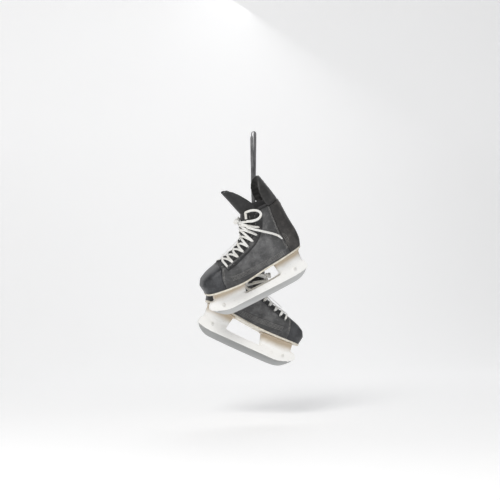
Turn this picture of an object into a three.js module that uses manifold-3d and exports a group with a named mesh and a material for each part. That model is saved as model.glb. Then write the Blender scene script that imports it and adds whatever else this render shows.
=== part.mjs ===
// A pair of ice hockey skates hung over a hook by one flat lace.
// Units are millimetres, +Z is up, and the origin is the top of the lace's fold, where the hook holds it.
// Each skate is drawn in its own frame: x runs towards the toe, y towards the outer side of the foot,
// and z up from the lowest point of the steel. Two groups then hang the skates from the lace.
import * as THREE from "three";
import { mergeVertices } from "three/addons/utils/BufferGeometryUtils.js";
import Module from "manifold-3d";

const wasm = await Module();
wasm.setup();

// Driving dimensions.
const GAP = 0.35; // clearance left between touching pieces
const STEEL_THICK = 3.6;
const STEEL_SHOWS = 19; // steel standing out below the holder
const SLOT_DEPTH = 9; // steel let into the holder
const TAB_TOP = 42; // height of the two steel tabs that the holder's bolts pass through
const BEAM_HALF = 9; // half the breadth of the holder's bottom beam
const BEAM_TOP = 35; // height of the beam between the two towers
const SOLE_THICK = 4.5;
const SOLE_STANDS_OUT = 1.6; // how far the sole's edge stands out from the boot's walls
const FOOTBED_THICK = 3;
const SHELL_THICK = 3.4; // leather and stiffener of the boot's walls
const LINING_THICK = 3.2;
const FACING_THICK = 1.6;
const FACING_WIDTH = 17;
const COLLAR = 229; // height of the boot's collar at the ankle
const BOLT_R = 2.6;
const BOLT_HEAD_R = 4.4;
const LACE_W = 6.4; // the skates' own laces, laid flat
const LACE_T = 2.2;
const LACING_T = 2.9; // a crossing run with its slack
const BOW_R = 2.6;
const BOW_KNOT_R = 7;
const HANG_LACE_W = 8;
const HANG_LACE_T = 2.4;
const FOLD_R = 4.6; // middle line of the fold over the hook
const KNOT_R = 6;
const CLEAR = 70; // half the breadth of a cutting prism, more than half of any skate's

// How the skates hang: the tilt of each toe below the horizontal, the lean of each top towards -Y,
// the world place of each knot, and the eyelet where the knot sits in the skate's own frame.
const NEAR = {
  name: "near",
  toe: -1,
  tilt: 26.1,
  lean: -8,
  knot: [-5, -17, -222],
  eyelet: [-77, -48.5, 207],
};
const FAR = {
  name: "far",
  toe: 1,
  tilt: 24.4,
  lean: 1.5,
  knot: [4.8, 17, -376],
  eyelet: [-70.5, 48.5, 207],
};

const materials = {
  leather: { color: 0x3a393c, roughness: 0.55, metalness: 0 },
  backLeather: { color: 0x2b2927, roughness: 0.6, metalness: 0 },
  toeLeather: { color: 0x35373d, roughness: 0.42, metalness: 0 },
  trim: { color: 0x222122, roughness: 0.6, metalness: 0 },
  lining: { color: 0x1d1c1c, roughness: 0.95, metalness: 0 },
  felt: { color: 0x262526, roughness: 1, metalness: 0 },
  sole: { color: 0xe6dfd0, roughness: 0.5, metalness: 0 },
  holder: { color: 0xf2efe8, roughness: 0.35, metalness: 0 },
  steel: { color: 0xa9aba8, roughness: 0.3, metalness: 1 },
  bolt: { color: 0xc9c9c6, roughness: 0.35, metalness: 1 },
  lace: { color: 0xefeee6, roughness: 0.9, metalness: 0 },
  blackLace: { color: 0x4a4a4b, roughness: 0.9, metalness: 0 },
  tab: { color: 0xb9b4a8, roughness: 0.8, metalness: 0 },
};
for (const name of Object.keys(materials)) materials[name] = new THREE.MeshStandardMaterial(materials[name]);

// ---- Solids ----

function solidOf(geometry) {
  const bare = geometry.clone();
  bare.deleteAttribute("normal");
  bare.deleteAttribute("uv");
  const merged = mergeVertices(bare, 1e-3);
  return new wasm.Manifold(
    new wasm.Mesh({
      numProp: 3,
      vertProperties: merged.attributes.position.array,
      triVerts: new Uint32Array(merged.index.array),
    }),
  );
}

function geometryOf(solid) {
  const mesh = solid.getMesh();
  const geometry = new THREE.BufferGeometry();
  geometry.setAttribute("position", new THREE.BufferAttribute(mesh.vertProperties.slice(), 3));
  geometry.setIndex(new THREE.BufferAttribute(mesh.triVerts.slice(), 1));
  geometry.computeVertexNormals();
  return geometry;
}

// A side outline in x and z, carried across the skate from y = from to y = to.
function prism(outline, from, to) {
  const shape = new THREE.Shape(outline.map(([x, z]) => new THREE.Vector2(x, z)));
  const geometry = new THREE.ExtrudeGeometry(shape, { depth: to - from, bevelEnabled: false });
  return solidOf(geometry.rotateX(Math.PI / 2).translate(0, to, 0));
}

// A closed body through rings of equally many points, each ring turning the same way, with a fan on each end.
function loft(rings) {
  const count = rings[0].length;
  const middle = (ring) => ring.reduce((sum, p) => sum.add(p), new THREE.Vector3()).divideScalar(count);
  const points = [...rings.flat(), middle(rings[0]), middle(rings.at(-1))];
  const index = [];
  for (let k = 0; k + 1 < rings.length; k++)
    for (let i = 0; i < count; i++) {
      const [a, b] = [k * count + i, k * count + ((i + 1) % count)];
      index.push(a, b, b + count, a, b + count, a + count);
    }
  const last = (rings.length - 1) * count;
  for (let i = 0; i < count; i++) {
    const next = (i + 1) % count;
    index.push(rings.length * count, next, i);
    index.push(rings.length * count + 1, last + i, last + next);
  }
  const geometry = new THREE.BufferGeometry().setFromPoints(points);
  geometry.setIndex(index);
  const made = solidOf(geometry);
  return made.volume() > 0 ? made : solidOf(geometry.setIndex(index.reverse()));
}

// A cylinder across the skate at (x, z), from y = from to y = to.
function pinAcross(x, z, radius, from, to, sides = 12) {
  const geometry = new THREE.CylinderGeometry(radius, radius, to - from, sides);
  return solidOf(geometry.translate(x, (from + to) / 2, z));
}

// ---- The boot's form ----

// Level slices of the boot: height, back, front, and half the breadth at the heel and ankle.
const LEVELS = [
  [66, -143, 136, 34],
  [86, -147.5, 139, 35.5],
  [104, -151.5, 142, 36.5],
  [120, -152, 134, 37.5],
  [130, -152, 115, 38],
  [141, -151, 74, 39.5],
  [149, -150, 36, 40.5],
  [158, -149, 8, 41],
  [172, -147, -9, 40.5],
  [200, -144.5, -21, 39.5],
  [236, -140, -33, 42.5],
];
const BALL_HALF = 48; // half the breadth at the ball of the foot
const WAIST_DIP = 3.5; // how much narrower each side is under the arch
const TOE_SWING = 6; // how far the toe leans to the inner side
const RING_SIDES = 20;

// The middle line of the foot, which swings to the inner side towards the toe.
function middleLine(x) {
  return -TOE_SWING * THREE.MathUtils.smoothstep(x, 30, 142);
}

// Half the breadth at x, before the ends round off: the ankle's, growing to the ball's, less the arch.
function fullHalf(x, ankleHalf, z) {
  const ball = THREE.MathUtils.smoothstep(x, -45, 65);
  const arch = WAIST_DIP * Math.exp(-(((x + 12) / 42) ** 2)) * (1 - THREE.MathUtils.smoothstep(z, 90, 130));
  return THREE.MathUtils.lerp(ankleHalf, BALL_HALF, ball) - arch;
}

// Long low slices have squarer ends than the round slices of the ankle.
function squareness(length) {
  return 2.3 + THREE.MathUtils.smoothstep(length, 120, 260);
}

// One slice of the form, pushed out by offset: a superellipse whose breadth follows fullHalf.
function slice([z, back, front, ankleHalf], offset) {
  const centre = (back + front) / 2;
  const reach = (front - back) / 2 + offset;
  const power = 2 / squareness(front - back);
  return Array.from({ length: RING_SIDES }, (_, i) => {
    const turn = (2 * Math.PI * i) / RING_SIDES;
    const [c, s] = [Math.cos(turn), Math.sin(turn)];
    const x = centre + reach * Math.sign(c) * Math.abs(c) ** power;
    const y = (fullHalf(x, ankleHalf, z) + offset) * Math.sign(s) * Math.abs(s) ** power;
    return new THREE.Vector3(x, y + middleLine(x), z);
  });
}

// The boot's form as a solid, offset outwards, or inwards where offset is negative.
// The lowest and the top slice stand clear of every cut that is made with it.
function form(offset) {
  return loft(LEVELS.map((level) => slice(level, offset)));
}

function levelAt(z) {
  const above = Math.max(1, LEVELS.findIndex((level) => level[0] >= z));
  const [low, high] = [LEVELS[above - 1], LEVELS[above]];
  const share = (z - low[0]) / (high[0] - low[0]);
  return low.map((value, i) => THREE.MathUtils.lerp(value, high[i], share));
}

// Half the form's breadth at (x, z).
function halfAt(x, z) {
  const [, back, front, ankleHalf] = levelAt(z);
  const along = Math.min(1, Math.abs(x - (back + front) / 2) / ((front - back) / 2));
  const power = squareness(front - back);
  return fullHalf(x, ankleHalf, z) * (1 - along ** power) ** (1 / power);
}

function insideForm(p) {
  return Math.abs(p.y - middleLine(p.x)) < halfAt(p.x, p.z);
}

// A point on the form's side at (x, z), stood off by offset.
// side is 1 for the outer side and -1 for the inner.
function onSide(x, z, side, offset) {
  return new THREE.Vector3(x, side * (halfAt(x, z) + offset) + middleLine(x), z);
}

const walls = form(0).subtract(form(-SHELL_THICK));

// The sole's underside, from heel to toe: high at the heel, low under the arch, rising a little at the toe.
const SOLE_LINE = [[-160, 85], [-100, 81.5], [-40, 76.5], [20, 72.5], [70, 73], [150, 78.5]];
const soleLine = new THREE.SplineCurve(SOLE_LINE.map((p) => new THREE.Vector2(...p)));
const SOLE_STEPS = 8;

// A band between two heights above the sole's underside.
function soleBand(low, high) {
  const points = soleLine.getPoints(SOLE_STEPS).map((p) => [p.x, p.y]);
  const raise = (by) => points.map(([x, z]) => [x, z + by]);
  return [...raise(low), ...raise(high).reverse()];
}

function soleHeight(x) {
  const points = soleLine.getPoints(SOLE_STEPS);
  const above = Math.max(1, points.findIndex((p) => p.x >= x));
  const [low, high] = [points[above - 1], points[above]];
  return THREE.MathUtils.lerp(low.y, high.y, (x - low.x) / (high.x - low.x));
}

// The boot's bottom edge, just above the sole, between two places.
function wallFoot(from, to) {
  const steps = 6;
  return Array.from({ length: steps + 1 }, (_, i) => {
    const x = THREE.MathUtils.lerp(from, to, i / steps);
    return [x, soleHeight(x) + SOLE_THICK + GAP];
  });
}

// ---- Blade and holder ----

const BOLT_X = [-108, 108];
const BOLT_Z = 36;

// The steel's lower edge: a long shallow rocker between a turned-up tail and a higher turned-up nose.
const ROCKER = [[-142, 24], [-131, 13], [-118, 5], [-100, 1.6], [-50, 0.3], [0, 0], [50, 0.3], [86, 1.6],
  [103, 4.5], [116, 10.5], [129, 21], [142.5, 36.5]];

// The line where the steel leaves the holder.
const HOLDER_FOOT = [[143.5, 37.5], [124, 28.5], [106, 20.5], [84, STEEL_SHOWS], [-104, STEEL_SHOWS],
  [-126, 21], [-143.5, 25]];

function steelOutline() {
  const hidden = STEEL_SHOWS + SLOT_DEPTH;
  const tab = ([x0, x1]) => [[x0, hidden], [x0, TAB_TOP], [x1, TAB_TOP], [x1, hidden]];
  return [...ROCKER, [136, 37], [120, 31], ...tab([117, 99]), ...tab([-99, -117]), [-132, 27]];
}

function makeRunner() {
  let steel = prism(steelOutline(), -STEEL_THICK / 2, STEEL_THICK / 2);
  for (const x of BOLT_X) steel = steel.subtract(pinAcross(x, BOLT_Z, BOLT_R + GAP, -5, 5));
  return steel;
}

// The two towers: back and front at the beam, back and front at the sole, and the flange's half breadth.
const FRONT_TOWER = [[50, 134], [32, 123], 33];
const REAR_TOWER = [[-139, -68], [-127, -57], 29];
const TOWER_ROOT = 8; // how far a tower starts under the beam's top
const TOWER_OVERRUN = 6; // how far it runs into the sole before it is cut to the sole's underside

// One tower: a waist as narrow as the beam, flaring to a flange under the sole.
function tower(low, high, half) {
  const steps = 4;
  const sides = 12;
  const sole = soleHeight((high[0] + high[1]) / 2) + TOWER_OVERRUN;
  const rings = Array.from({ length: steps + 1 }, (_, k) => {
    const rise = k / steps;
    const z = THREE.MathUtils.lerp(BEAM_TOP - TOWER_ROOT, sole, rise);
    const flare = rise ** 2.2;
    const [back, front] = [0, 1].map((i) => THREE.MathUtils.lerp(low[i], high[i], rise ** 0.8));
    const wide = THREE.MathUtils.lerp(BEAM_HALF - 0.4, half, flare);
    return Array.from({ length: sides }, (_, i) => {
      const turn = (2 * Math.PI * i) / sides;
      const [c, s] = [Math.cos(turn), Math.sin(turn)];
      const x = (back + front) / 2 + ((front - back) / 2) * Math.sign(c) * Math.abs(c) ** 0.5;
      return new THREE.Vector3(x, wide * Math.sign(s) * Math.abs(s) ** 0.6, z);
    });
  });
  return loft(rings);
}

function makeHolder() {
  const beamTop = [[-140, 30], [-136, 45], [-120, 50], [-80, 45], [-66, 38], [-48, BEAM_TOP], [28, BEAM_TOP],
    [44, 38], [60, 46], [110, 52], [131, 54], [139, 46]];
  let holder = prism([...HOLDER_FOOT, ...beamTop], -BEAM_HALF, BEAM_HALF);
  const underside = soleBand(-GAP, 0).slice(0, SOLE_STEPS + 1).reverse();
  const under = prism([[-170, 0], [170, 0], ...underside], -CLEAR, CLEAR);
  holder = holder.add(tower(...FRONT_TOWER).intersect(under));
  holder = holder.add(tower(...REAR_TOWER).intersect(under));
  const slot = prism(steelOutline(), -STEEL_THICK / 2 - GAP, STEEL_THICK / 2 + GAP);
  holder = holder.subtract(slot.translate([0, 0, GAP])).subtract(slot);
  for (const x of BOLT_X) holder = holder.subtract(pinAcross(x, BOLT_Z, BOLT_R + GAP, -30, 30));
  return holder;
}

const BOLT_SEAT = BEAM_HALF + 1.2; // how far out the head and the nut sit, clear of the towers' flare
const BOLT_HEAD_T = 2;
const NUT_T = 2.4;

// A bolt through the holder and a steel tab, its head and its nut standing on the holder's two sides.
function makeBolt(x) {
  const shank = pinAcross(x, BOLT_Z, BOLT_R, -BOLT_SEAT, BOLT_SEAT, 10);
  const head = pinAcross(x, BOLT_Z, BOLT_HEAD_R, BOLT_SEAT, BOLT_SEAT + BOLT_HEAD_T, 12);
  const nut = pinAcross(x, BOLT_Z, BOLT_HEAD_R, -BOLT_SEAT - NUT_T, -BOLT_SEAT, 6);
  return shank.add(head).add(nut);
}

// ---- Sole and upper ----

function makeOutsole() {
  return form(SOLE_STANDS_OUT).intersect(prism(soleBand(0, SOLE_THICK), -CLEAR, CLEAR));
}

function makeFootbed() {
  const low = SOLE_THICK + GAP;
  const band = prism(soleBand(low, low + FOOTBED_THICK), -CLEAR, CLEAR);
  return form(-SHELL_THICK - GAP).intersect(band);
}

// Seams of the upper in the side view, each from the bottom up or from the front back.
const TOE_SEAM = [[92, 104], [87, 122], [77, 150]];
const COUNTER_SEAM = [[-104, COLLAR], [-102, 187], [-102, 152], [-106, 127]];
// The open front edge of the quarters, along the eyelets from the toe seam to the collar.
const FACING_EDGE = [[73, 139], [52, 143], [32, 148.5], [13, 154.5], [-5, 161], [-22, 168.5], [-37, 179.5],
  [-49, 195], [-56, 212], [-59, COLLAR - 3]];

function shifted(points, by) {
  return points.map(([x, z]) => [x + by, z]);
}

function quarterOutline() {
  const toe = [...TOE_SEAM.slice(0, 2), [79, 144], [76, 143]];
  return [...wallFoot(-109, 91), ...toe, ...FACING_EDGE, [-66, COLLAR], ...COUNTER_SEAM];
}

const QUARTER_SPLIT = 0.3; // half the gap between the two quarters where they meet over the toe's seam

// From y = from, left of the toe's middle line, out past one side of the boot.
function sideReach(side, from) {
  return side > 0 ? [from - TOE_SWING, CLEAR] : [-CLEAR, -from - TOE_SWING];
}

function makeQuarter(side) {
  return walls.intersect(prism(quarterOutline(), ...sideReach(side, QUARTER_SPLIT)));
}

function makeToeCap() {
  const seam = shifted(TOE_SEAM, GAP);
  return walls.intersect(prism([...wallFoot(91 + GAP, 150), [150, 150], ...seam.reverse()], -CLEAR, CLEAR));
}

function makeHeelCounter() {
  const seam = shifted(COUNTER_SEAM, -GAP);
  const outline = [...wallFoot(-160, -109 - GAP), ...seam.reverse(), [-160, COLLAR]];
  return walls.intersect(prism(outline, -CLEAR, CLEAR));
}

// A strip that carries the eyelets, laid on the quarter along its open front edge.
function makeFacing(side) {
  const steps = 10;
  const curve = new THREE.SplineCurve(FACING_EDGE.map((p) => new THREE.Vector2(...p)));
  const edge = curve.getPoints(steps);
  const back = edge.map((p, i) => {
    const along = curve.getTangent(i / steps);
    return [p.x - along.y * FACING_WIDTH, p.y + along.x * FACING_WIDTH];
  });
  const strip = form(FACING_THICK + GAP).subtract(form(GAP));
  const outline = [...edge.map((p) => [p.x, p.y]), ...back.reverse()];
  return strip.intersect(prism(outline, ...sideReach(side, 4)));
}

// The inner boot: a soft lining that stops under the collar and leaves the tongue's place open.
function makeLining() {
  const outer = -SHELL_THICK - GAP;
  const soft = form(outer).subtract(form(outer - LINING_THICK));
  const foot = wallFoot(-160, 60).map(([x, z]) => [x, z + FOOTBED_THICK + GAP]);
  const outline = [...foot, ...FACING_EDGE.slice(1), [-66, COLLAR], [-160, COLLAR]];
  return soft.intersect(prism(outline, -CLEAR, CLEAR));
}

// ---- Tongue and tendon guard ----

const OVAL_SIDES = 24;

// A leaning oval tube. Each level gives height, the edge in x on the side that faces names (1 front, -1 back)
// and half its breadth; depth is half its length front to back.
function ovalTube(levels, depth, offset, faces) {
  const rings = levels.map(([z, edge, half]) =>
    Array.from({ length: OVAL_SIDES }, (_, i) => {
      const turn = (2 * Math.PI * i) / OVAL_SIDES;
      const x = edge - faces * depth + (depth + offset) * Math.cos(turn);
      return new THREE.Vector3(x, (half + offset) * Math.sin(turn), z);
    }),
  );
  return loft(rings);
}

const TONGUE_ROOT = COLLAR + 2;
const TONGUE_LEVELS = [[TONGUE_ROOT - 6, -34, 37], [252, -25, 36], [280, -16, 34], [312, -4.5, 32]];
const TONGUE_DEPTH = 41;
const TONGUE_THICK = 2.6;
const FELT_THICK = 4.4;
const FELT_DROP = 2; // how far the felt's rim lies under the leather's
const TONGUE_EDGE = [[-29, TONGUE_ROOT], [2, 306], [-12, 307], [-26, 301], [-42, 286], [-56, 268],
  [-67, 250], [-68, TONGUE_ROOT + 4], [-60, TONGUE_ROOT]];

function makeTongue() {
  const face = ovalTube(TONGUE_LEVELS, TONGUE_DEPTH, 0, 1);
  const leather = face.subtract(ovalTube(TONGUE_LEVELS, TONGUE_DEPTH, -TONGUE_THICK, 1));
  return leather.intersect(prism(TONGUE_EDGE, -CLEAR, CLEAR));
}

function makeTongueFelt() {
  const skin = -TONGUE_THICK - GAP;
  const face = ovalTube(TONGUE_LEVELS, TONGUE_DEPTH, skin, 1);
  const felt = face.subtract(ovalTube(TONGUE_LEVELS, TONGUE_DEPTH, skin - FELT_THICK, 1));
  const edge = TONGUE_EDGE.map(([x, z]) => [x, z > TONGUE_ROOT + 4 ? z - FELT_DROP : z]);
  return felt.intersect(prism(edge, -CLEAR, CLEAR));
}

const BASE_TOP = TONGUE_ROOT - 1.5;

// The tongue under the lacing, between the two facings. It stands clear of the facings' steep upper half in x
// and of the rest in z.
function makeTongueBase() {
  const low = FACING_EDGE.map(([x, z]) => [x + (x < -40 ? 2 : 0), z + 1.2]);
  const region = [[76, 150], [76, 144.5], ...low, [-59, BASE_TOP], [-20, BASE_TOP], [10, 190]];
  return walls.intersect(prism(region, -CLEAR, CLEAR));
}

const GUARD_LEVELS = [[COLLAR - 4, -141.5, 41.5], [258, -133.3, 40], [284, -126, 36.5], [313, -118, 31]];
const GUARD_DEPTH = 44;
const GUARD_THICK = 4.6;
const GUARD_EDGE = [[-160, COLLAR + 1], [-98, COLLAR + 1], [-95, 244], [-94, 262], [-95.5, 277], [-101, 291],
  [-109, 301], [-117, 306], [-160, 306]];

function makeTendonGuard() {
  const face = ovalTube(GUARD_LEVELS, GUARD_DEPTH, 0, -1);
  const shell = face.subtract(ovalTube(GUARD_LEVELS, GUARD_DEPTH, -GUARD_THICK, -1));
  return shell.intersect(prism(GUARD_EDGE, -CLEAR, CLEAR));
}

const TAB_SIZE = [2.4, 11, 17];
const TAB_SLOPE = 0.13; // radians, the back seam's lean
const TAB_PLACE = [-145.4, 0, 214];

// A small woven loop sewn to the back seam where the guard begins.
function makePullTab() {
  return solidOf(new THREE.BoxGeometry(...TAB_SIZE).rotateY(TAB_SLOPE).translate(...TAB_PLACE));
}

// ---- The skates' own laces ----

const EYELETS = [[66, 131], [48, 135], [29, 141], [10, 147], [-8, 153], [-26, 160.5], [-43, 171.5],
  [-57, 188], [-65, 209]];
const LACING_CLEARANCE = 5.3; // a straight run between two points of its route dips this far at most
const LACING_LIFT = FACING_THICK + 2 * GAP + LACE_T / 2 + LACING_CLEARANCE;

// A flat cord along a curve: an oval section whose broad side stays square to the given outward direction.
function flatCord(points, steps, wide, thick, outward, corners = 8) {
  const curve = new THREE.CatmullRomCurve3(points, false, "centripetal");
  const rings = Array.from({ length: steps + 1 }, (_, k) => {
    const at = curve.getPointAt(k / steps);
    const along = curve.getTangentAt(k / steps);
    const across = new THREE.Vector3().crossVectors(along, outward(at)).normalize();
    const up = new THREE.Vector3().crossVectors(across, along);
    return Array.from({ length: corners }, (_, i) => {
      const turn = (2 * Math.PI * (i + 0.5)) / corners;
      const p = at.clone().addScaledVector(across, (wide / 2) * Math.cos(turn));
      return p.addScaledVector(up, (thick / 2) * Math.sin(turn));
    });
  });
  return loft(rings);
}

// A point over the instep: rise counts eyelet rows upwards, and across runs from -1 at the inner eyelets
// to 1 at the outer ones. It is found by walking out of the form, then standing off by lift.
function overInstep(rise, across, lift) {
  const row = Math.min(EYELETS.length - 2, Math.floor(rise));
  const [low, high] = [EYELETS[row], EYELETS[row + 1]];
  const share = rise - row;
  const [x, z] = [0, 1].map((i) => THREE.MathUtils.lerp(low[i], high[i], share));
  const start = new THREE.Vector3(x, middleLine(x), z);
  const out = new THREE.Vector3(high[1] - low[1], 0, low[0] - high[0]).normalize();
  const turn = (across * Math.PI) / 2;
  const walk = out.multiplyScalar(Math.cos(turn)).add(new THREE.Vector3(0, Math.sin(turn), 0));
  let reach = 5;
  while (insideForm(start.clone().addScaledVector(walk, reach))) reach += 0.5;
  return start.addScaledVector(walk, reach + lift);
}

// Crossed rows from each eyelet to the next one up on the other side, all joined where they cross.
// The lace's broad side faces forward and up, turning outwards with its distance from the middle line.
function makeLacing() {
  const outward = (p) => new THREE.Vector3(25, p.y - middleLine(p.x), 30).normalize();
  let lacing = null;
  for (let row = 0; row + 1 < EYELETS.length; row++)
    for (const side of [1, -1]) {
      const route = [-1, -0.82, -0.35, 0.35, 0.82, 1].map((across) =>
        overInstep(row + (across + 1) / 2, side * across, LACING_LIFT),
      );
      const cord = flatCord(route, 8, LACE_W, LACING_T, outward, 4);
      lacing = lacing ? lacing.add(cord) : cord;
    }
  return lacing;
}

const BOW = [-14, 0, 221];

function makeBowKnot() {
  const knot = new THREE.SphereGeometry(BOW_KNOT_R, 10, 6);
  return solidOf(knot.scale(1, 1.25, 0.9).translate(...BOW));
}

// Places along the bow's loops and tails: x, height, and how far they stand off the boot's side.
// The loop beside the hanging lace's knot is the shorter one.
const LONG_LOOP = [[-21, 223, 13], [-27, 233, 12], [-39, 240, 11], [-54, 240, 10], [-67, 232, 9],
  [-70, 221, 9], [-60, 214, 11], [-44, 214, 15], [-29, 218, 17]];
const SHORT_LOOP = [[-20, 220, 15], [-36, 213, 15], [-58, 202, 12], [-77, 185, 11], [-84, 169, 11],
  [-77, 160, 12], [-62, 165, 16], [-47, 180, 21], [-36, 199, 26], [-28, 215, 26]];
const LACE_TAIL = [[-14, 209, 16], [-23, 203, 18], [-36, 194, 17.5], [-50, 183.5, 14.5], [-63, 173, 9],
  [-81, 158.5, 4.5], [-93, 146, 4.5], [-99, 135, 4.5]];

function bowRoute(places, side) {
  return places.map(([x, z, lift]) => {
    const level = Math.min(z, LEVELS.at(-1)[0]);
    return onSide(Math.min(x, levelAt(level)[2] - 4), level, side, lift + BOW_R).setZ(z);
  });
}

function makeBowCord(places, side, steps) {
  const outward = () => new THREE.Vector3(0, side, 0);
  return flatCord(bowRoute(places, side), steps, 2 * BOW_R, 2 * BOW_R, outward);
}

// ---- The hanging lace ----

// The fold over the hook, in the plane of the skates, its top at the origin.
function makeFold() {
  const steps = 8;
  const rings = Array.from({ length: steps + 1 }, (_, k) => {
    const turn = Math.PI * (1 - k / steps);
    const out = new THREE.Vector3(Math.cos(turn), 0, Math.sin(turn));
    const at = out.clone().multiplyScalar(FOLD_R);
    at.z -= FOLD_R + HANG_LACE_T / 2;
    return Array.from({ length: 8 }, (_, i) => {
      const round = (2 * Math.PI * (i + 0.5)) / 8;
      const p = at.clone().addScaledVector(out, (HANG_LACE_T / 2) * Math.cos(round));
      return p.add(new THREE.Vector3(0, (HANG_LACE_W / 2) * Math.sin(round), 0));
    });
  });
  return loft(rings);
}

// One strand, straight down from the fold to its knot, turning its flat side to the front on the way.
function makeStrand(skate, side) {
  const top = new THREE.Vector3(side * FOLD_R, 0, -FOLD_R - HANG_LACE_T / 2 - GAP);
  const knot = new THREE.Vector3(...skate.knot);
  const down = knot.clone().sub(top);
  const length = down.length() - KNOT_R - GAP;
  down.normalize();
  const steps = Math.round(length / 20);
  const rings = Array.from({ length: steps + 1 }, (_, k) => {
    const at = top.clone().addScaledVector(down, (length * k) / steps);
    const twist = (Math.PI / 2) * (1 - Math.min(1, (k * 2) / steps));
    return Array.from({ length: 8 }, (_, i) => {
      const round = (2 * Math.PI * (i + 0.5)) / 8;
      const [w, t] = [(HANG_LACE_W / 2) * Math.cos(round), (HANG_LACE_T / 2) * Math.sin(round)];
      const x = w * Math.cos(twist) - t * Math.sin(twist);
      const y = w * Math.sin(twist) + t * Math.cos(twist);
      return at.clone().add(new THREE.Vector3(x, y, 0));
    });
  });
  return loft(rings);
}

// ---- Assembly ----

const pair = new THREE.Group();

function addPiece(group, name, solid, material) {
  const mesh = new THREE.Mesh(geometryOf(solid), material.clone());
  mesh.name = name;
  group.add(mesh);
}

const skatePieces = [
  ["runner", makeRunner(), materials.steel],
  ["holder", makeHolder(), materials.holder],
  ["holder_bolt_rear", makeBolt(BOLT_X[0]), materials.bolt],
  ["holder_bolt_front", makeBolt(BOLT_X[1]), materials.bolt],
  ["outsole", makeOutsole(), materials.sole],
  ["footbed", makeFootbed(), materials.felt],
  ["quarter_outer", makeQuarter(1), materials.leather],
  ["quarter_inner", makeQuarter(-1), materials.leather],
  ["toe_cap", makeToeCap(), materials.toeLeather],
  ["heel_counter", makeHeelCounter(), materials.backLeather],
  ["facing_outer", makeFacing(1), materials.trim],
  ["facing_inner", makeFacing(-1), materials.trim],
  ["lining", makeLining(), materials.lining],
  ["tendon_guard", makeTendonGuard(), materials.trim],
  ["tongue_base", makeTongueBase(), materials.trim],
  ["tongue", makeTongue(), materials.trim],
  ["tongue_felt", makeTongueFelt(), materials.felt],
  ["pull_tab", makePullTab(), materials.tab],
  ["lacing", makeLacing(), materials.lace],
  ["bow_knot", makeBowKnot(), materials.lace],
  ["lace_tail_outer", makeBowCord(LACE_TAIL, 1, 9), materials.lace],
  ["lace_tail_inner", makeBowCord(LACE_TAIL, -1, 9), materials.lace],
];

for (const skate of [NEAR, FAR]) {
  const tilt = THREE.MathUtils.degToRad(skate.tilt);
  const lean = THREE.MathUtils.degToRad(skate.lean);
  const toe = new THREE.Vector3(skate.toe * Math.cos(tilt), 0, -Math.sin(tilt));
  const upright = new THREE.Vector3(skate.toe * Math.sin(tilt), 0, Math.cos(tilt));
  const front = new THREE.Vector3(0, -1, 0);
  const outer = front.clone().multiplyScalar(Math.cos(lean)).addScaledVector(upright, Math.sin(lean));
  const up = upright.clone().multiplyScalar(Math.cos(lean)).addScaledVector(front, -Math.sin(lean));
  const hung = new THREE.Group();
  hung.matrixAutoUpdate = false;
  hung.matrix.makeBasis(toe, outer, up);
  const eyelet = new THREE.Vector3(...skate.eyelet).applyMatrix4(hung.matrix);
  hung.matrix.setPosition(new THREE.Vector3(...skate.knot).sub(eyelet));
  for (const [name, solid, material] of skatePieces) addPiece(hung, `${skate.name}_${name}`, solid, material);
  for (const [name, side] of [["outer", 1], ["inner", -1]]) {
    const loop = side * skate.eyelet[1] > 0 ? SHORT_LOOP : LONG_LOOP;
    addPiece(hung, `${skate.name}_bow_loop_${name}`, makeBowCord(loop, side, 14), materials.lace);
  }
  pair.add(hung);

  const stopper = solidOf(new THREE.SphereGeometry(KNOT_R, 10, 6).translate(...skate.knot));
  addPiece(pair, `${skate.name}_stopper_knot`, stopper, materials.blackLace);
  addPiece(pair, `${skate.name}_strand`, makeStrand(skate, skate.toe), materials.blackLace);
}
addPiece(pair, "lace_fold", makeFold(), materials.blackLace);

export default pair;
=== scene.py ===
import math

import bpy
import numpy as np
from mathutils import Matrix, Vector


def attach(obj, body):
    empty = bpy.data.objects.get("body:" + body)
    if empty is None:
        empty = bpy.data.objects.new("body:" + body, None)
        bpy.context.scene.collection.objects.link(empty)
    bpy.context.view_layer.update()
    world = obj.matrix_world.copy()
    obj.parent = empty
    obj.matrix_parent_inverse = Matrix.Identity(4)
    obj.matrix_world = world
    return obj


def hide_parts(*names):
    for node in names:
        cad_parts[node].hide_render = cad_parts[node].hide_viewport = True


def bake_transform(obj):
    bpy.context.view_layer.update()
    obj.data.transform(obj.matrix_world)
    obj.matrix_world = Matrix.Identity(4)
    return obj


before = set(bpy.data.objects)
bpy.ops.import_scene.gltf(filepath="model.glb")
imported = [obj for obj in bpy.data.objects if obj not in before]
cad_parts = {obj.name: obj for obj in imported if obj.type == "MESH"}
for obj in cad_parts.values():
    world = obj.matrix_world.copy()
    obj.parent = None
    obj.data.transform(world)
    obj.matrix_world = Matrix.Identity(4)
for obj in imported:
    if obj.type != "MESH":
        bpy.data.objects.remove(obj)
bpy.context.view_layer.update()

MM = 0.001

# ---------------------------------------------------------------------------
# The studio: a pale floor that sweeps up behind the skates, a broad soft key light from the left front,
# a weaker fill from the right, and a long lens placed square to the hanging pair, a little to its left.
# ---------------------------------------------------------------------------
VIEW_AZIMUTH = math.radians(-15)
VIEW_DISTANCE = 4.2
VIEW_CENTRE = Vector((-0.0097, -0.0026, -0.318))
VIEW_WIDTH = 1.338  # breadth of the picture at the skates


def aim(thing, target):
    """Turns a light or camera so that it looks at the target."""
    thing.rotation_euler = (Vector(target) - thing.location).to_track_quat("-Z", "Y").to_euler()


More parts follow.
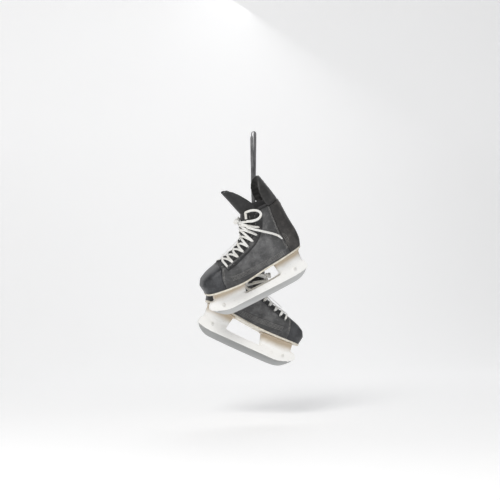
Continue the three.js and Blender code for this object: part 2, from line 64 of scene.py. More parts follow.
camera = bpy.data.objects.new("camera", bpy.data.cameras.new("camera"))
bpy.context.scene.collection.objects.link(camera)
camera.location = VIEW_CENTRE + VIEW_DISTANCE * Vector((math.sin(VIEW_AZIMUTH), -math.cos(VIEW_AZIMUTH), 0))
camera.data.lens = camera.data.sensor_width * VIEW_DISTANCE / VIEW_WIDTH
aim(camera, VIEW_CENTRE)
bpy.context.scene.camera = camera


def soft_light(name, place, size, watts, tint):
    """A square area lamp aimed at the middle of the skates."""
    lamp = bpy.data.lights.new(name, "AREA")
    lamp.size = size
    lamp.energy = watts
    lamp.color = tint
    holder = bpy.data.objects.new(name, lamp)
    holder.location = place
    bpy.context.scene.collection.objects.link(holder)
    aim(holder, (0, 0, -0.42))


soft_light("key_light", (-1.5, -2.5, 1.6), 1.2, 68, (1.0, 0.99, 0.97))
soft_light("fill_light", (2.2, -1.9, 0.1), 2.2, 5, (0.97, 0.98, 1.0))
soft_light("rim_light", (0.9, 2.0, 1.2), 1.2, 8, (1.0, 1.0, 1.0))

world = bpy.data.worlds.new("studio_air")
world.use_nodes = True
world.node_tree.nodes["Background"].inputs["Color"].default_value = (0.94, 0.95, 0.96, 1)
world.node_tree.nodes["Background"].inputs["Strength"].default_value = 0.3
bpy.context.scene.world = world
bpy.context.scene.view_settings.view_transform = "Standard"


class Wire:
    """A shader socket whose arithmetic adds Math nodes to its tree."""

    def __init__(self, tree, socket):
        self.tree = tree
        self.socket = socket

    def _math(self, operation, *values):
        return self.tree.node("ShaderNodeMath", {"operation": operation}, dict(enumerate(values)))

    def __add__(self, other):
        return self._math("ADD", self, other)

    def __sub__(self, other):
        return self._math("SUBTRACT", self, other)

    def __mul__(self, other):
        return self._math("MULTIPLY", self, other)

    def __rsub__(self, other):
        return self._math("SUBTRACT", other, self)

    __radd__ = __add__
    __rmul__ = __mul__

    def clamp(self):
        return self.tree.node("ShaderNodeClamp", {}, {"Value": self})

    def step(self, low, high):
        """0 below low, 1 above high, and a smooth rise between them; a falling step where low is above high."""
        return self.tree.node(
            "ShaderNodeMapRange",
            {"interpolation_type": "SMOOTHSTEP"},
            {"Value": self, "From Min": low, "From Max": high},
        )


class Finish:
    """One material and its node tree, with a Principled shader ready to be fed."""

    def __init__(self, name, colour, roughness, **fixed):
        self.material = bpy.data.materials.new(name)
        self.material.use_nodes = True
        self.tree = self.material.node_tree
        self.shader = self.tree.nodes["Principled BSDF"]
        self.feed("Base Color", (*colour, 1))
        self.feed("Roughness", roughness)
        for socket, value in fixed.items():
            self.feed(socket.replace("_", " "), value)

    def feed(self, socket, value):
        """Sets one of the shader's sockets to a number or colour, or links a wire to it."""
        if isinstance(value, Wire):
            self.tree.links.new(value.socket, self.shader.inputs[socket])
        else:
            self.shader.inputs[socket].default_value = value

    def node(self, kind, settings, values, output=0):
        """Adds a node: first its settings, then its sockets' values or links. Returns a wire from one output."""
        made = self.tree.nodes.new(kind)
        for key, value in settings.items():
            setattr(made, key, value)
        for key, value in values.items():
            if isinstance(value, Wire):
                self.tree.links.new(value.socket, made.inputs[key])
            else:
                made.inputs[key].default_value = value
        return Wire(self, made.outputs[output])

    def place(self, scale=(1, 1, 1), turn=(0, 0, 0), own=False):
        """Object coordinates, or the skate's own in millimetres, turned and scaled."""
        if own:
            here = self.node("ShaderNodeAttribute", {"attribute_name": "own"}, {}, "Vector")
        else:
            here = self.node("ShaderNodeTexCoord", {}, {}, "Object")
        return self.node("ShaderNodeMapping", {}, {"Vector": here, "Rotation": turn, "Scale": scale})

    def noise(self, vector, scale, detail=4.0, roughness=0.55):
        values = {"Vector": vector, "Scale": scale, "Detail": detail, "Roughness": roughness}
        return self.node("ShaderNodeTexNoise", {}, values)

    def attribute(self, name):
        return self.node("ShaderNodeAttribute", {"attribute_name": name}, {}, "Fac")

    def mix(self, share, low, high):
        """A colour between two colours or colour wires."""
        values = {0: share}
        for key, colour in ((6, low), (7, high)):
            values[key] = colour if isinstance(colour, Wire) else (*colour, 1)
        return self.node("ShaderNodeMix", {"data_type": "RGBA"}, values, 2)

    def bump(self, height, strength, distance, under=None):
        values = {"Height": height, "Strength": strength, "Distance": distance}
        if under is not None:
            values["Normal"] = under
        return self.node("ShaderNodeBump", {}, values)


floor_finish = Finish("studio_floor", (0.93, 0.93, 0.935), 0.9, Emission_Strength=0.22)
floor_finish.feed("Emission Color", (0.93, 0.93, 0.935, 1))
floor_grain = floor_finish.noise(floor_finish.place(), 3.0)
floor_finish.feed("Base Color", floor_finish.mix(floor_grain, (0.92, 0.92, 0.925), (0.94, 0.94, 0.945)))


def grid_faces(rows, columns, wrap_rows=False, wrap_columns=False):
    """Quads over a grid of points: each joins a point, its right neighbour and the two under them."""
    i = np.arange(rows if wrap_rows else rows - 1)[:, None]
    j = np.arange(columns if wrap_columns else columns - 1)[None, :]
    below, right = (i + 1) % rows, (j + 1) % columns
    corners = [i * columns + j, i * columns + right, below * columns + right, below * columns + j]
    return np.stack([np.broadcast_to(c, (i.size, j.size)) for c in corners], -1).reshape(-1, 4)


def new_mesh(name, points, faces, finish, sharp=40):
    """A piece from points in metres and lists of corners, smooth but for edges sharper than the given angle."""
    mesh = bpy.data.meshes.new(name)
    mesh.from_pydata(np.asarray(points, float).reshape(-1, 3).tolist(), [], [list(map(int, f)) for f in faces])
    mesh.validate()
    mesh.polygons.foreach_set("use_smooth", np.ones(len(mesh.polygons), bool))
    mesh.set_sharp_from_angle(angle=math.radians(sharp))
    mesh.materials.append(finish.material)
    piece = bpy.data.objects.new(name, mesh)
    bpy.context.scene.collection.objects.link(piece)
    return piece


def keep_values(piece, key, values):
    """Stores one number for each point of a piece, for its material to read."""
    piece.data.attributes.new(key, "FLOAT", "POINT").data.foreach_set("value", values)


SWEEP_FLOOR = -0.78
SWEEP_BACK = 1.5
sweep_u, sweep_v = np.meshgrid(np.linspace(-6, 6, 9), np.linspace(0, 1, 60))
sweep_bend = np.clip((sweep_v - 0.45) / 0.25, 0, 1) * math.pi / 2
sweep_y = SWEEP_BACK - 6 * np.clip(1 - sweep_v / 0.45, 0, 1) + np.sin(sweep_bend)
sweep_z = SWEEP_FLOOR + 1 - np.cos(sweep_bend) + 4 * np.clip((sweep_v - 0.7) / 0.3, 0, 1)
sweep = new_mesh("floor", np.stack([sweep_u, sweep_y, sweep_z], -1), grid_faces(60, 9), floor_finish)

# ---------------------------------------------------------------------------
# The boot's form, shared by every leather piece. Heights and lengths here are millimetres in the skate's own
# frame: x towards the toe, y towards the outer side of the foot, z up from the lowest point of the steel.
# Each level gives height, back, front and half the breadth at the ankle; slices are superellipses.
# ---------------------------------------------------------------------------
LEVELS = np.array([
    [66, -143, 136, 34], [86, -147.5, 139, 35.5], [104, -151.5, 142, 36.5], [120, -152, 134, 37.5],
    [130, -152, 115, 38], [141, -151, 74, 39.5], [149, -150, 36, 40.5], [158, -149, 8, 41],
    [172, -147, -9, 40.5], [200, -144.5, -21, 39.5], [236, -140, -33, 42.5],
])
BALL_HALF = 48
FINE_Z = np.arange(60, 242, 0.25)
SOFTEN = np.hanning(35) / np.hanning(35).sum()
FINE_LEVELS = [
    np.convolve(np.interp(np.arange(60 - 4.25, 242 + 4.25, 0.25), LEVELS[:, 0], LEVELS[:, k]), SOFTEN, "valid")
    for k in (1, 2, 3)
]
SOLE_LINE = np.array([[-160, 85], [-100, 81.5], [-40, 76.5], [20, 72.5], [70, 73], [150, 78.5]])
SOLE_THICK = 4.5
WALL_FOOT = SOLE_THICK + 0.35
WALL_THICK = 3.3


def smoothstep(x, low, high):
    """3t^2 - 2t^3, where t runs from 0 at low to 1 at high."""
    t = np.clip((x - low) / (high - low), 0, 1)
    return t * t * (3 - 2 * t)


def once_around(count):
    """Evenly spaced angles of a full turn."""
    return np.linspace(0, 2 * np.pi, count, endpoint=False)


def squared(wave, power):
    """sgn(w)|w|^power, which squares up a circle's cosine or sine where the power is under 1."""
    return np.sign(wave) * np.abs(wave) ** power


def unit(vectors):
    """Each vector divided by its length."""
    return vectors / np.linalg.norm(vectors, axis=-1, keepdims=True)


def line(points, at):
    """A broken line's second column read off at values of its first."""
    points = np.asarray(points, float)
    order = np.argsort(points[:, 0])
    return np.interp(at, points[order, 0], points[order, 1])


def spline(points, count):
    """A Catmull-Rom curve through the points, resampled to evenly spaced ones."""
    points = np.asarray(points, float)
    ends = np.vstack([2 * points[0] - points[1], points, 2 * points[-1] - points[-2]])
    t = np.linspace(0, 1, 24, endpoint=False)[:, None]
    runs = []
    for a, b, c, d in zip(ends, ends[1:], ends[2:], ends[3:]):
        bend = (2 * a - 5 * b + 4 * c - d) * t**2
        runs.append(0.5 * (2 * b + (c - a) * t + bend + (3 * b - a - 3 * c + d) * t**3))
    return resample(np.vstack([*runs, points[-1:]]), count)


def resample(points, count):
    """The same curve with evenly spaced points."""
    steps = np.linalg.norm(np.diff(points, axis=0), axis=1)
    run = np.concatenate([[0], np.cumsum(steps)])
    at = np.linspace(0, run[-1], count)
    return np.stack([np.interp(at, run, column) for column in points.T], -1)


def sole_height(x):
    """The underside of the sole: high at the heel, low under the arch, rising a little at the toe."""
    return line(spline(SOLE_LINE, 80), x)


def middle_line(x):
    """The foot's middle line: -6 smoothstep(x, 30, 142), so that the toe leans to the inner side."""
    return -6 * smoothstep(x, 30, 142)


def form_level(z):
    return [np.interp(z, FINE_Z, column) for column in FINE_LEVELS]


def full_half(x, ankle, z):
    """The ankle's half breadth growing to the ball's, less a dip of 3.5 exp(-((x + 12) / 42)^2) at the arch."""
    arch = 3.5 * np.exp(-(((x + 12) / 42) ** 2)) * (1 - smoothstep(z, 90, 130))
    return ankle + (BALL_HALF - ankle) * smoothstep(x, -45, 65) - arch


def half_at(x, z):
    """Half the form's breadth: full (1 - a^p)^(1/p), where a is the share of the way from the middle to an end."""
    back, front, ankle = form_level(z)
    along = np.clip(np.abs(x - (back + front) / 2) / ((front - back) / 2), 0, 1)
    power = 2.3 + smoothstep(front - back, 120, 260)
    return full_half(x, ankle, z) * (1 - along**power) ** (1 / power)


def on_side(x, z, side, offset=0.0):
    """A point of the form's side seen from the side at (x, z), stood off sideways."""
    return np.stack([x + 0 * z, side * (half_at(x, z) + offset) + middle_line(x), z + 0 * x], -1)


def form_ring(turn, z, offset=0.0):
    """The slice at height z: x = centre + reach sgn(c)|c|^(2/p), y = half sgn(s)|s|^(2/p) for c, s of the turn."""
    back, front, ankle = form_level(z)
    power = 2 / (2.3 + smoothstep(front - back, 120, 260))
    c, s = np.cos(turn), np.sin(turn)
    x = (back + front) / 2 + ((front - back) / 2 + offset) * squared(c, power)
    y = (full_half(x, ankle, z) + offset) * squared(s, power) + middle_line(x)
    return np.stack([x, y, z + 0 * x], -1)


def turn_at(x, z):
    """The turn at which the slice at height z passes x on its outer side."""
    back, front, _ = form_level(z)
    power = 2.3 + smoothstep(front - back, 120, 260)
    along = np.clip((x - (back + front) / 2) / ((front - back) / 2), -1, 1)
    return np.arccos(squared(along, power / 2))


def normals(grid):
    """Unit normals of a grid of points, from the cross product of its two directions."""
    across = np.cross(np.gradient(grid, axis=0), np.gradient(grid, axis=1))
    length = np.linalg.norm(across, axis=-1, keepdims=True)
    return across / np.maximum(length, 1e-9)


def edged(count, length, rim=1.4):
    """Evenly spaced shares of a length, with three closer ones inside each end for a rounded rim."""
    rims = np.array([0, 0.22, 0.6, 1.0]) * rim / length
    return np.concatenate([rims, np.linspace(rims[-1], 1 - rims[-1], count)[1:-1], 1 - rims[::-1]])


def rim_drop(rows, columns):
    """How far a sheet's face falls at its rims: 1 on the border, then 0.45, 0.1 and 0."""
    fall = [np.zeros(rows), np.zeros(columns)]
    for run in fall:
        run[[0, -1]] = 1
        run[[1, -2]] = 0.45
        run[[2, -3]] = 0.1
    return np.maximum(fall[0][:, None], fall[1][None, :])[..., None]


def sheet_of(face, thick, outward, rim=0.9):
    """A closed sheet under a grid of points: its face with rounded rims, its back, and the strip between them."""
    rows, columns = face.shape[:2]
    out = normals(face)
    out *= np.sign((out * outward(face)).sum(-1).mean())
    top = face - out * rim_drop(rows, columns) * min(rim, thick * 0.45)
    under = face - out * thick
    points = np.concatenate([top.reshape(-1, 3), under.reshape(-1, 3)])
    quads = grid_faces(rows, columns)
    index = np.arange(rows * columns).reshape(rows, columns)
    border = np.concatenate([index[0, :-1], index[:-1, -1], index[-1, :0:-1], index[:0:-1, 0]])
    after = np.roll(border, -1)
    strip = np.stack([after, border, border + rows * columns, after + rows * columns], -1)
    return points, np.concatenate([quads, quads[:, ::-1] + rows * columns, strip])


def coons(bottom, top, left, right):
    """A patch between four curves: the two straight blends less the blend of the corners."""
    s = np.linspace(0, 1, len(bottom))[None, :, None]
    t = np.linspace(0, 1, len(left))[:, None, None]
    corners = (1 - s) * (1 - t) * bottom[0] + s * (1 - t) * bottom[-1] + (1 - s) * t * top[0] + s * t * top[-1]
    return (1 - t) * bottom + t * top + (1 - s) * left[:, None] + s * right[:, None] - corners


def at_shares(points, shares):
    """A curve read at shares of its length."""
    steps = np.linalg.norm(np.diff(points, axis=0), axis=1)
    run = np.concatenate([[0], np.cumsum(steps)])
    return np.stack([np.interp(shares * run[-1], run, column) for column in np.asarray(points, float).T], -1)


class Skate:
    """Where one skate hangs, and what its pieces' names begin with."""

    def __init__(self, name, toe_way, tilt, lean, knot, eyelet):
        tilt, lean = math.radians(tilt), math.radians(lean)
        toe = np.array([toe_way * math.cos(tilt), 0, -math.sin(tilt)])
        upright = np.array([toe_way * math.sin(tilt), 0, math.cos(tilt)])
        front = np.array([0.0, -1.0, 0.0])
        self.name = name
        self.side = np.sign(eyelet[1])
        self.axes = np.stack([toe, front * math.cos(lean) + upright * math.sin(lean),
                              upright * math.cos(lean) - front * math.sin(lean)], 1)
        self.eyelet = np.array(eyelet, float)
        self.origin = np.array(knot) - self.axes @ self.eyelet
        self.body = name + "_skate"

    def world(self, points):
        """Points of the skate's own frame, in millimetres, as world metres."""
        return (np.asarray(points, float) @ self.axes.T + self.origin) * MM

    def piece(self, name, points, faces, finish, nodes=(), slot=None, body=None, sharp=40):
        """A piece of this skate, its own-frame coordinates kept for the material, riding on one of its bodies."""
        points = np.asarray(points, float).reshape(-1, 3)
        faces = [face[::-1] for face in faces] if np.linalg.det(self.axes) < 0 else faces
        made = new_mesh(f"{self.name}_{name}", self.world(points), faces, finish, sharp)
        keep = made.data.attributes.new("own", "FLOAT_VECTOR", "POINT")
        keep.data.foreach_set("vector", points.ravel())
        if nodes:
            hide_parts(*[f"{self.name}_{node}" for node in nodes])
        if body != "blend":
            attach(made, body or self.body)
        return made


near = Skate("near", -1, 26.1, -8, (-5, -17, -222), (-77, -48.5, 207))
far = Skate("far", 1, 24.4, 1.5, (4.8, 17, -376), (-70.5, 48.5, 207))
SKATES = (near, far)

# ---------------------------------------------------------------------------
# The hanging lace: one flat black lace, 8 mm wide and 0.6 m long, folded over the hook at the origin and knotted
# into a top eyelet of each skate. Its two strands hang side by side, and each twists once on the way down.
# It takes the place of the fold and both strands of the frame.
# ---------------------------------------------------------------------------
woven_black = Finish("black_lace", (0.05, 0.05, 0.052), 0.9, Sheen_Weight=0.1, Sheen_Roughness=0.5)
weave_run = woven_black.attribute("run")
weave_width = woven_black.attribute("width")
weave = woven_black.node("ShaderNodeMath", {"operation": "SINE"}, {0: weave_run * 2600 + weave_width * 9.4})
weave_back = woven_black.node("ShaderNodeMath", {"operation": "SINE"}, {0: weave_run * 2600 - weave_width * 9.4})
lace_wear = woven_black.noise(woven_black.place(), 46).step(0.35, 0.72)
woven_black.feed("Base Color", woven_black.mix(lace_wear, (0.13, 0.13, 0.134), (0.245, 0.245, 0.25)))
woven_black.feed("Normal", woven_black.bump(weave * weave_back, 0.7, 0.0005))


LACE_CORNERS = 12
LACE_SQUARE = squared(np.cos(once_around(LACE_CORNERS)), 0.7)


def lace_rings(path, facing, half_wide, half_thick):
    """Sections of a flat lace: half_wide sgn(cos a)|cos a|^0.7 across the run, half_thick sin a along the facing."""
    along = unit(np.gradient(path, axis=0))
    across = unit(np.cross(along, facing))
    up = np.cross(across, along)
    rings = path[:, None] + across[:, None] * (half_wide[:, None] * LACE_SQUARE)[..., None]
    return rings + up[:, None] * (half_thick * np.sin(once_around(LACE_CORNERS)))[None, :, None]


def ribbon(name, path, wide, thick, facing, finish, skate=None, taper=0.0, slot=None, nodes=()):
    """A flat lace along a path, with one facing for each of its points; taper narrows the last tenth of the run."""
    path = np.asarray(path, float)
    run = np.concatenate([[0], np.cumsum(np.linalg.norm(np.diff(path, axis=0), axis=1))])
    half_wide = wide / 2 * (1 - taper * smoothstep(run / run[-1], 0.9, 1))
    rings = lace_rings(path, facing, half_wide, thick / 2)
    faces = grid_faces(len(path), LACE_CORNERS, wrap_columns=True).tolist()
    faces.append(list(range(LACE_CORNERS)))
    faces.append(list(range((len(path) - 1) * LACE_CORNERS, len(path) * LACE_CORNERS))[::-1])
    if skate:
        made = skate.piece(name, rings, faces, finish, nodes, slot, sharp=60)
    else:
        made = new_mesh(name, rings * MM, faces, finish, 60)
    keep_values(made, "run", np.repeat(run, LACE_CORNERS) * MM)
    keep_values(made, "width", np.tile(LACE_SQUARE, len(path)))
    return made


FOLD_TOP = -1.2
FOLD_R = 4.6
fold_turn = np.linspace(np.pi, 0, 25)
fold = np.stack([FOLD_R * np.cos(fold_turn), 0 * fold_turn, FOLD_R * (np.sin(fold_turn) - 1) + FOLD_TOP], -1)
near_drop = spline([(-4.6, 0, -6.5), (-4.6, -2, -40), (-4.9, -8, -110), (-5.2, -14.5, -180), (-5, -17, -217)], 120)
far_drop = spline([(4.6, 0, -6.5), (4.8, 2, -50), (4.9, 8, -150), (4.8, 13, -260), (4.8, 17, -371)], 200)
LACE_POINTS = 420
lace_path = resample(np.vstack([near_drop[::-1], fold[1:-1], far_drop]), LACE_POINTS)
lace_run = np.linspace(0, 1, LACE_POINTS)
from_fold = np.abs(lace_run - 215 / 600) * 600
face_angle = smoothstep(from_fold, 5, 16)
upwards = np.stack([lace_path[:, 0] / 5, 0 * lace_run, np.ones(LACE_POINTS)], -1)
upwards = np.where(from_fold[:, None] < 9, upwards, np.sign(lace_path[:, :1]) * [[1.0, 0, 0]])
upwards /= np.linalg.norm(upwards, axis=1, keepdims=True)
wobble = 0.22 * np.sin(lace_run * 43) * smoothstep(from_fold, 40, 90)
lace_facing = upwards * np.cos(face_angle * np.pi / 2)[:, None]
lace_facing = lace_facing + np.outer(np.sin(face_angle * np.pi / 2), [0, -1, 0])
lace_facing[:, 0] += wobble
top_lace = ribbon("hanging_lace", lace_path, 8.0, 1.7, lace_facing, woven_black)
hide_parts("lace_fold", "near_strand", "far_strand")
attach(top_lace, "hanging_lace")


def knot_of(skate, name, centre, size, cord, finish, slot, nodes, tilt=0.0):
    """A tight overhand knot: the trefoil (sin t + 2 sin 2t, 1.1 sin 3t, cos t - 2 cos 2t), tilted and scaled."""
    t = once_around(90)
    loop = np.stack([np.sin(t) + 2 * np.sin(2 * t), 1.1 * np.sin(3 * t), np.cos(t) - 2 * np.cos(2 * t)], -1)
    spin = np.array([[math.cos(tilt), 0, -math.sin(tilt)], [0, 1, 0], [math.sin(tilt), 0, math.cos(tilt)]])
    loop = loop @ spin.T * (size / 3) + np.asarray(centre)
    along = unit(np.roll(loop, -1, 0) - np.roll(loop, 1, 0))
    across = unit(np.cross(along, [0, 1, 0.2]))
    up = np.cross(across, along)
    turn = once_around(12)
    rings = across[:, None] * np.cos(turn)[:, None] + up[:, None] * np.sin(turn)[:, None]
    rings = loop[:, None] + cord * rings
    made = skate.piece(name, rings, grid_faces(90, 12, True, True), finish, nodes, slot)
    keep_values(made, "run", np.repeat(t * size * MM, 12))
    keep_values(made, "width", np.tile(np.cos(turn), 90))


for skate in SKATES:
    knot_of(skate, "stopper_knot", skate.eyelet, 4.3, 1.9, woven_black, "black_lace", ["stopper_knot"], 0.4)

# ---------------------------------------------------------------------------
# The bow at the top of each lacing: a tight knot, two loops and two tails of flat white lace, 6.4 and 6 mm wide
# and 2.8 mm thick. The loops fall to either side of the ankle, and the tails end in thin aglets. The loop beside
# the hanging lace's knot is rounder on the far skate. Points are x, height and stand-off from the boot's side.
# ---------------------------------------------------------------------------
white_lace = Finish("white_lace", (0.8, 0.79, 0.75), 0.8, Sheen_Weight=0.2)
white_run = white_lace.attribute("run")
white_width = white_lace.attribute("width")
white_weave = white_lace.node("ShaderNodeMath", {"operation": "SINE"},
                              {0: white_run * 2900 + white_width * 6.3})
white_back = white_lace.node("ShaderNodeMath", {"operation": "SINE"},
                             {0: white_run * 2900 - white_width * 6.3})
white_dirt = white_lace.noise(white_lace.place(), 38).step(0.42, 0.78)
white_lace.feed("Base Color", white_lace.mix(white_dirt, (0.93, 0.925, 0.9), (0.8, 0.77, 0.7)))
white_lace.feed("Normal", white_lace.bump(white_weave * white_back, 0.6, 0.0005))
aglet_plastic = Finish("aglet_plastic", (0.86, 0.86, 0.84), 0.25, Coat_Weight=0.5)
aglet_haze = aglet_plastic.noise(aglet_plastic.place(), 120)
aglet_plastic.feed("Roughness", aglet_haze * 0.2 + 0.18)

BOW = (-14, 0, 221)
BOW_R = 2.6
LONG_LOOP = [[-21, 223, 13], [-27, 233, 12], [-39, 240, 11], [-54, 240, 10], [-67, 232, 9], [-70, 221, 9],
             [-60, 214, 11], [-44, 214, 15], [-29, 218, 17]]
SHORT_LOOP = [[-20, 220, 15], [-36, 213, 15], [-58, 202, 12], [-77, 185, 11], [-84, 169, 11], [-77, 160, 12],
              [-62, 165, 16], [-47, 180, 21], [-36, 199, 26], [-28, 215, 26]]
ROUND_LOOP = [[-20, 220, 15], [-32, 214, 15], [-50, 206, 13], [-68, 192, 12], [-76, 175, 12], [-75, 162, 13],
              [-66, 157, 15], [-52, 162, 18], [-38, 174, 22], [-27, 190, 25], [-22, 204, 26], [-21, 213, 26]]
LACE_TAIL = [[-14, 209, 16], [-23, 203, 18], [-36, 194, 17.5], [-50, 183.5, 14.5], [-63, 173, 9], [-81, 158.5, 4.5],
             [-93, 146, 4.5], [-99, 135, 4.5]]


def bow_route(places, side, count):
    """A smooth line through x, height and stand-off, on one side of the boot."""
    places = np.array(places, float)
    level = np.minimum(places[:, 1], 236)
    x = np.minimum(places[:, 0], form_level(level)[1] - 4)
    y = side * (half_at(x, level) + places[:, 2] + BOW_R) + middle_line(x)
    return spline(np.stack([x, y, places[:, 1]], -1), count)


for skate in SKATES:
    knot_of(skate, "bow_knot", BOW, 5.6, 2.7, white_lace, "white_lace", ["bow_knot"], 1.2)
    for word, side in (("outer", 1), ("inner", -1)):
        knot_side = ROUND_LOOP if skate is far else SHORT_LOOP
        loop = bow_route(knot_side if side == skate.side else LONG_LOOP, side, 110)
        facing = np.tile([0.25, side, 0.1], (110, 1))
        made = ribbon("bow_loop_" + word, loop, 6.4, 2.8, facing, white_lace, skate, slot="white_lace",
                      nodes=["bow_loop_" + word])
        skate.world(loop[0]).tolist()
        skate.world(loop).tolist()
        tail = bow_route(LACE_TAIL, side, 100)
        facing = np.tile([0.2, side, 0.3], (100, 1))
        made = ribbon("lace_tail_" + word, tail, 6.0, 2.8, facing, white_lace, skate, slot="white_lace",
                      nodes=["lace_tail_" + word], taper=0.4)
        tip = tail[-1] + unit(tail[-1] - tail[-2]) * np.linspace(-15, 0.4, 8)[:, None]
        aglet = ribbon(f"aglet_{word}", tip, 4.4, 4.0, np.tile([0.2, side, 0.3], (8, 1)), aglet_plastic, skate,
                       taper=0.3)
        skate.world(tail[0]).tolist()
        skate.world(tail).tolist()

# ---------------------------------------------------------------------------
# The steel: one runner per skate, 3.6 mm thick and 285 mm long, with a hollow-ground lower edge and rounded nose
# and tail. Fine marks of the grinding wheel run along it, and a brighter band follows the edge.
# ---------------------------------------------------------------------------
steel = Finish("runner_steel", (0.6, 0.61, 0.6), 0.3, Metallic=1.0)
grind = steel.noise(steel.place((0.03, 0.4, 6.0), own=True), 1.0, 6)
smudge = steel.noise(steel.place((0.02, 0.02, 0.05), own=True), 1.0, 3).step(0.35, 0.7)
edge_band = steel.attribute("edge")
steel_side = steel.mix(smudge, (0.34, 0.342, 0.336), (0.44, 0.443, 0.435))
steel.feed("Base Color", steel.mix(edge_band, steel_side, (0.6, 0.605, 0.6)))
steel.feed("Roughness", grind * 0.25 + 0.22)
steel.feed("Normal", steel.bump(grind, 0.25, 0.0003))

ROCKER = [[-142, 24], [-137, 17], [-131, 12], [-118, 5], [-100, 1.6], [-50, 0.3], [0, 0], [50, 0.3], [86, 1.6],
          [103, 4.5], [116, 10.5], [129, 21], [137, 29], [142.5, 36.5]]
STEEL_TOP = [[142, 38], [136, 37], [122, 31.5], [117, 31], [117, 42], [99, 42], [99, 28], [-99, 28], [-99, 42],
             [-117, 42], [-117, 28], [-133, 27], [-141, 26]]


def slab(outline, half, bevel):
    """A flat plate: its side outline at +half and -half, drawn in by the bevel, and an edge strip between."""
    outline = np.asarray(outline, float)
    ahead, behind = np.roll(outline, -1, 0), np.roll(outline, 1, 0)
    along = ahead - behind
    inward = np.stack([-along[:, 1], along[:, 0]], -1) / np.linalg.norm(along, axis=1, keepdims=True)
    rings = []
    for y, draw in ((half, bevel), (half - bevel, 0), (-half + bevel, 0), (-half, bevel)):
        flat = outline + inward * draw
        rings.append(np.stack([flat[:, 0], np.full(len(flat), y), flat[:, 1]], -1))
    count = len(outline)
    faces = grid_faces(4, count, wrap_columns=True).tolist()
    faces += [list(range(count))[::-1], list(range(3 * count, 4 * count))]
    return np.array(rings), faces


for skate in SKATES:
    rocker = spline(ROCKER, 150)
    points, faces = slab(np.vstack([rocker, STEEL_TOP]), 1.8, 0.35)
    runner = skate.piece("runner", points, faces, steel, ["runner"], "steel", sharp=25)
    low = np.interp(points[..., 0].ravel(), rocker[:, 0], rocker[:, 1])
    glow = 1 - smoothstep(points[..., 2].ravel() - low, 0.5, 2.5)
    keep_values(runner, "edge", glow)

# ---------------------------------------------------------------------------
# The holder: one white moulding per skate, a beam 18 mm thick around the steel and two hollow-backed towers that
# flare into flanges, 66 and 58 mm wide, riveted under the sole. Beam, towers and flanges are merged by a voxel
# remesh and smoothed, which leaves the soft fillets of a moulding. Up under the sole its colour turns tan, a
# painted shade standing in for the shadow of the sole.
# ---------------------------------------------------------------------------
holder_plastic = Finish("holder_plastic", (0.86, 0.85, 0.82), 0.32, Coat_Weight=0.35, Coat_Roughness=0.15)
holder_shade_rise = holder_plastic.attribute("height")
holder_haze = holder_plastic.noise(holder_plastic.place(own=True), 0.045, 5)
holder_scuff = holder_plastic.noise(holder_plastic.place((0.25, 1, 0.9), own=True), 0.5, 6).step(0.6, 0.72)
# Painted shade: darker tan mixed over the white near the sole's underside, for the shadow the sole casts there.
holder_painted_shade = (holder_shade_rise * 1.4 + holder_haze * 0.5 - 0.3).clamp()
holder_white = holder_plastic.mix(holder_scuff, (0.94, 0.935, 0.915), (0.8, 0.79, 0.765))
holder_plastic.feed("Base Color", holder_plastic.mix(holder_painted_shade, holder_white, (0.52, 0.42, 0.3)))
holder_plastic.feed("Roughness", holder_scuff * 0.25 + 0.28)
holder_plastic.feed("Normal", holder_plastic.bump(holder_haze, 0.25, 0.004))

HOLDER_FOOT = [[143.5, 37.5], [134, 32.5], [124, 28], [106, 21.5], [92, 19.3], [70, 19], [-90, 19], [-108, 19.4],
               [-126, 21], [-143.5, 25]]
BEAM_TOP = [[-143.5, 27], [-143, 36], [-139, 44], [-120, 50], [-80, 45], [-66, 38], [-48, 35.5], [28, 35], [44, 38],
            [60, 46], [110, 52], [131, 54], [140, 48], [144, 41]]


def tower(low, high, half):
    """Rings that rise from the beam to the sole: narrow as the beam below, flaring as rise^2.4 to the flange."""
    rings = []
    for rise in np.linspace(0, 1, 26):
        turn = once_around(64)
        top = sole_height((high[0] + high[1]) / 2) + 4
        ends = [low[i] + (high[i] - low[i]) * rise**0.8 for i in (0, 1)]
        wide = 8.2 + (half - 8.2) * rise**2.4
        c, s = np.cos(turn), np.sin(turn)
        x = (ends[0] + ends[1]) / 2 + (ends[1] - ends[0]) / 2 * squared(c, 0.55)
        y = wide * squared(s, 0.6)
        rings.append(np.stack([x, y, np.full(64, 27 + (top - 27) * rise)], -1))
    rings = np.array(rings)
    rings[..., 2] = np.minimum(rings[..., 2], sole_height(rings[..., 0]) - 0.4)
    return rings


def flange(from_x, to_x, half):
    """A plate 4 mm thick that follows the sole's underside, its outline a rounded oblong."""
    turn = once_around(96)
    c, s = np.cos(turn), np.sin(turn)
    x = (from_x + to_x) / 2 + (to_x - from_x) / 2 * squared(c, 0.45)
    y = half * squared(s, 0.5) + middle_line(x)
    levels = ((4.4, 0.97), (2.6, 1), (0.4, 1))
    return np.array([np.stack([x, y * pull, sole_height(x) - drop], -1) for drop, pull in levels])


def capped(rings):
    """Faces of stacked rings, closed by one face at each end."""
    levels, count = rings.shape[:2]
    faces = grid_faces(levels, count, wrap_columns=True).tolist()
    return [*faces, list(range(count))[::-1], list(range((levels - 1) * count, levels * count))]


def joined(parts):
    """Several point grids with their faces as one list of points and faces."""
    points, faces, start = [], [], 0
    for part_points, part_faces in parts:
        part_points = np.asarray(part_points).reshape(-1, 3)
        points.append(part_points)
        faces += [[i + start for i in face] for face in part_faces]
        start += len(part_points)
    return np.vstack(points), faces


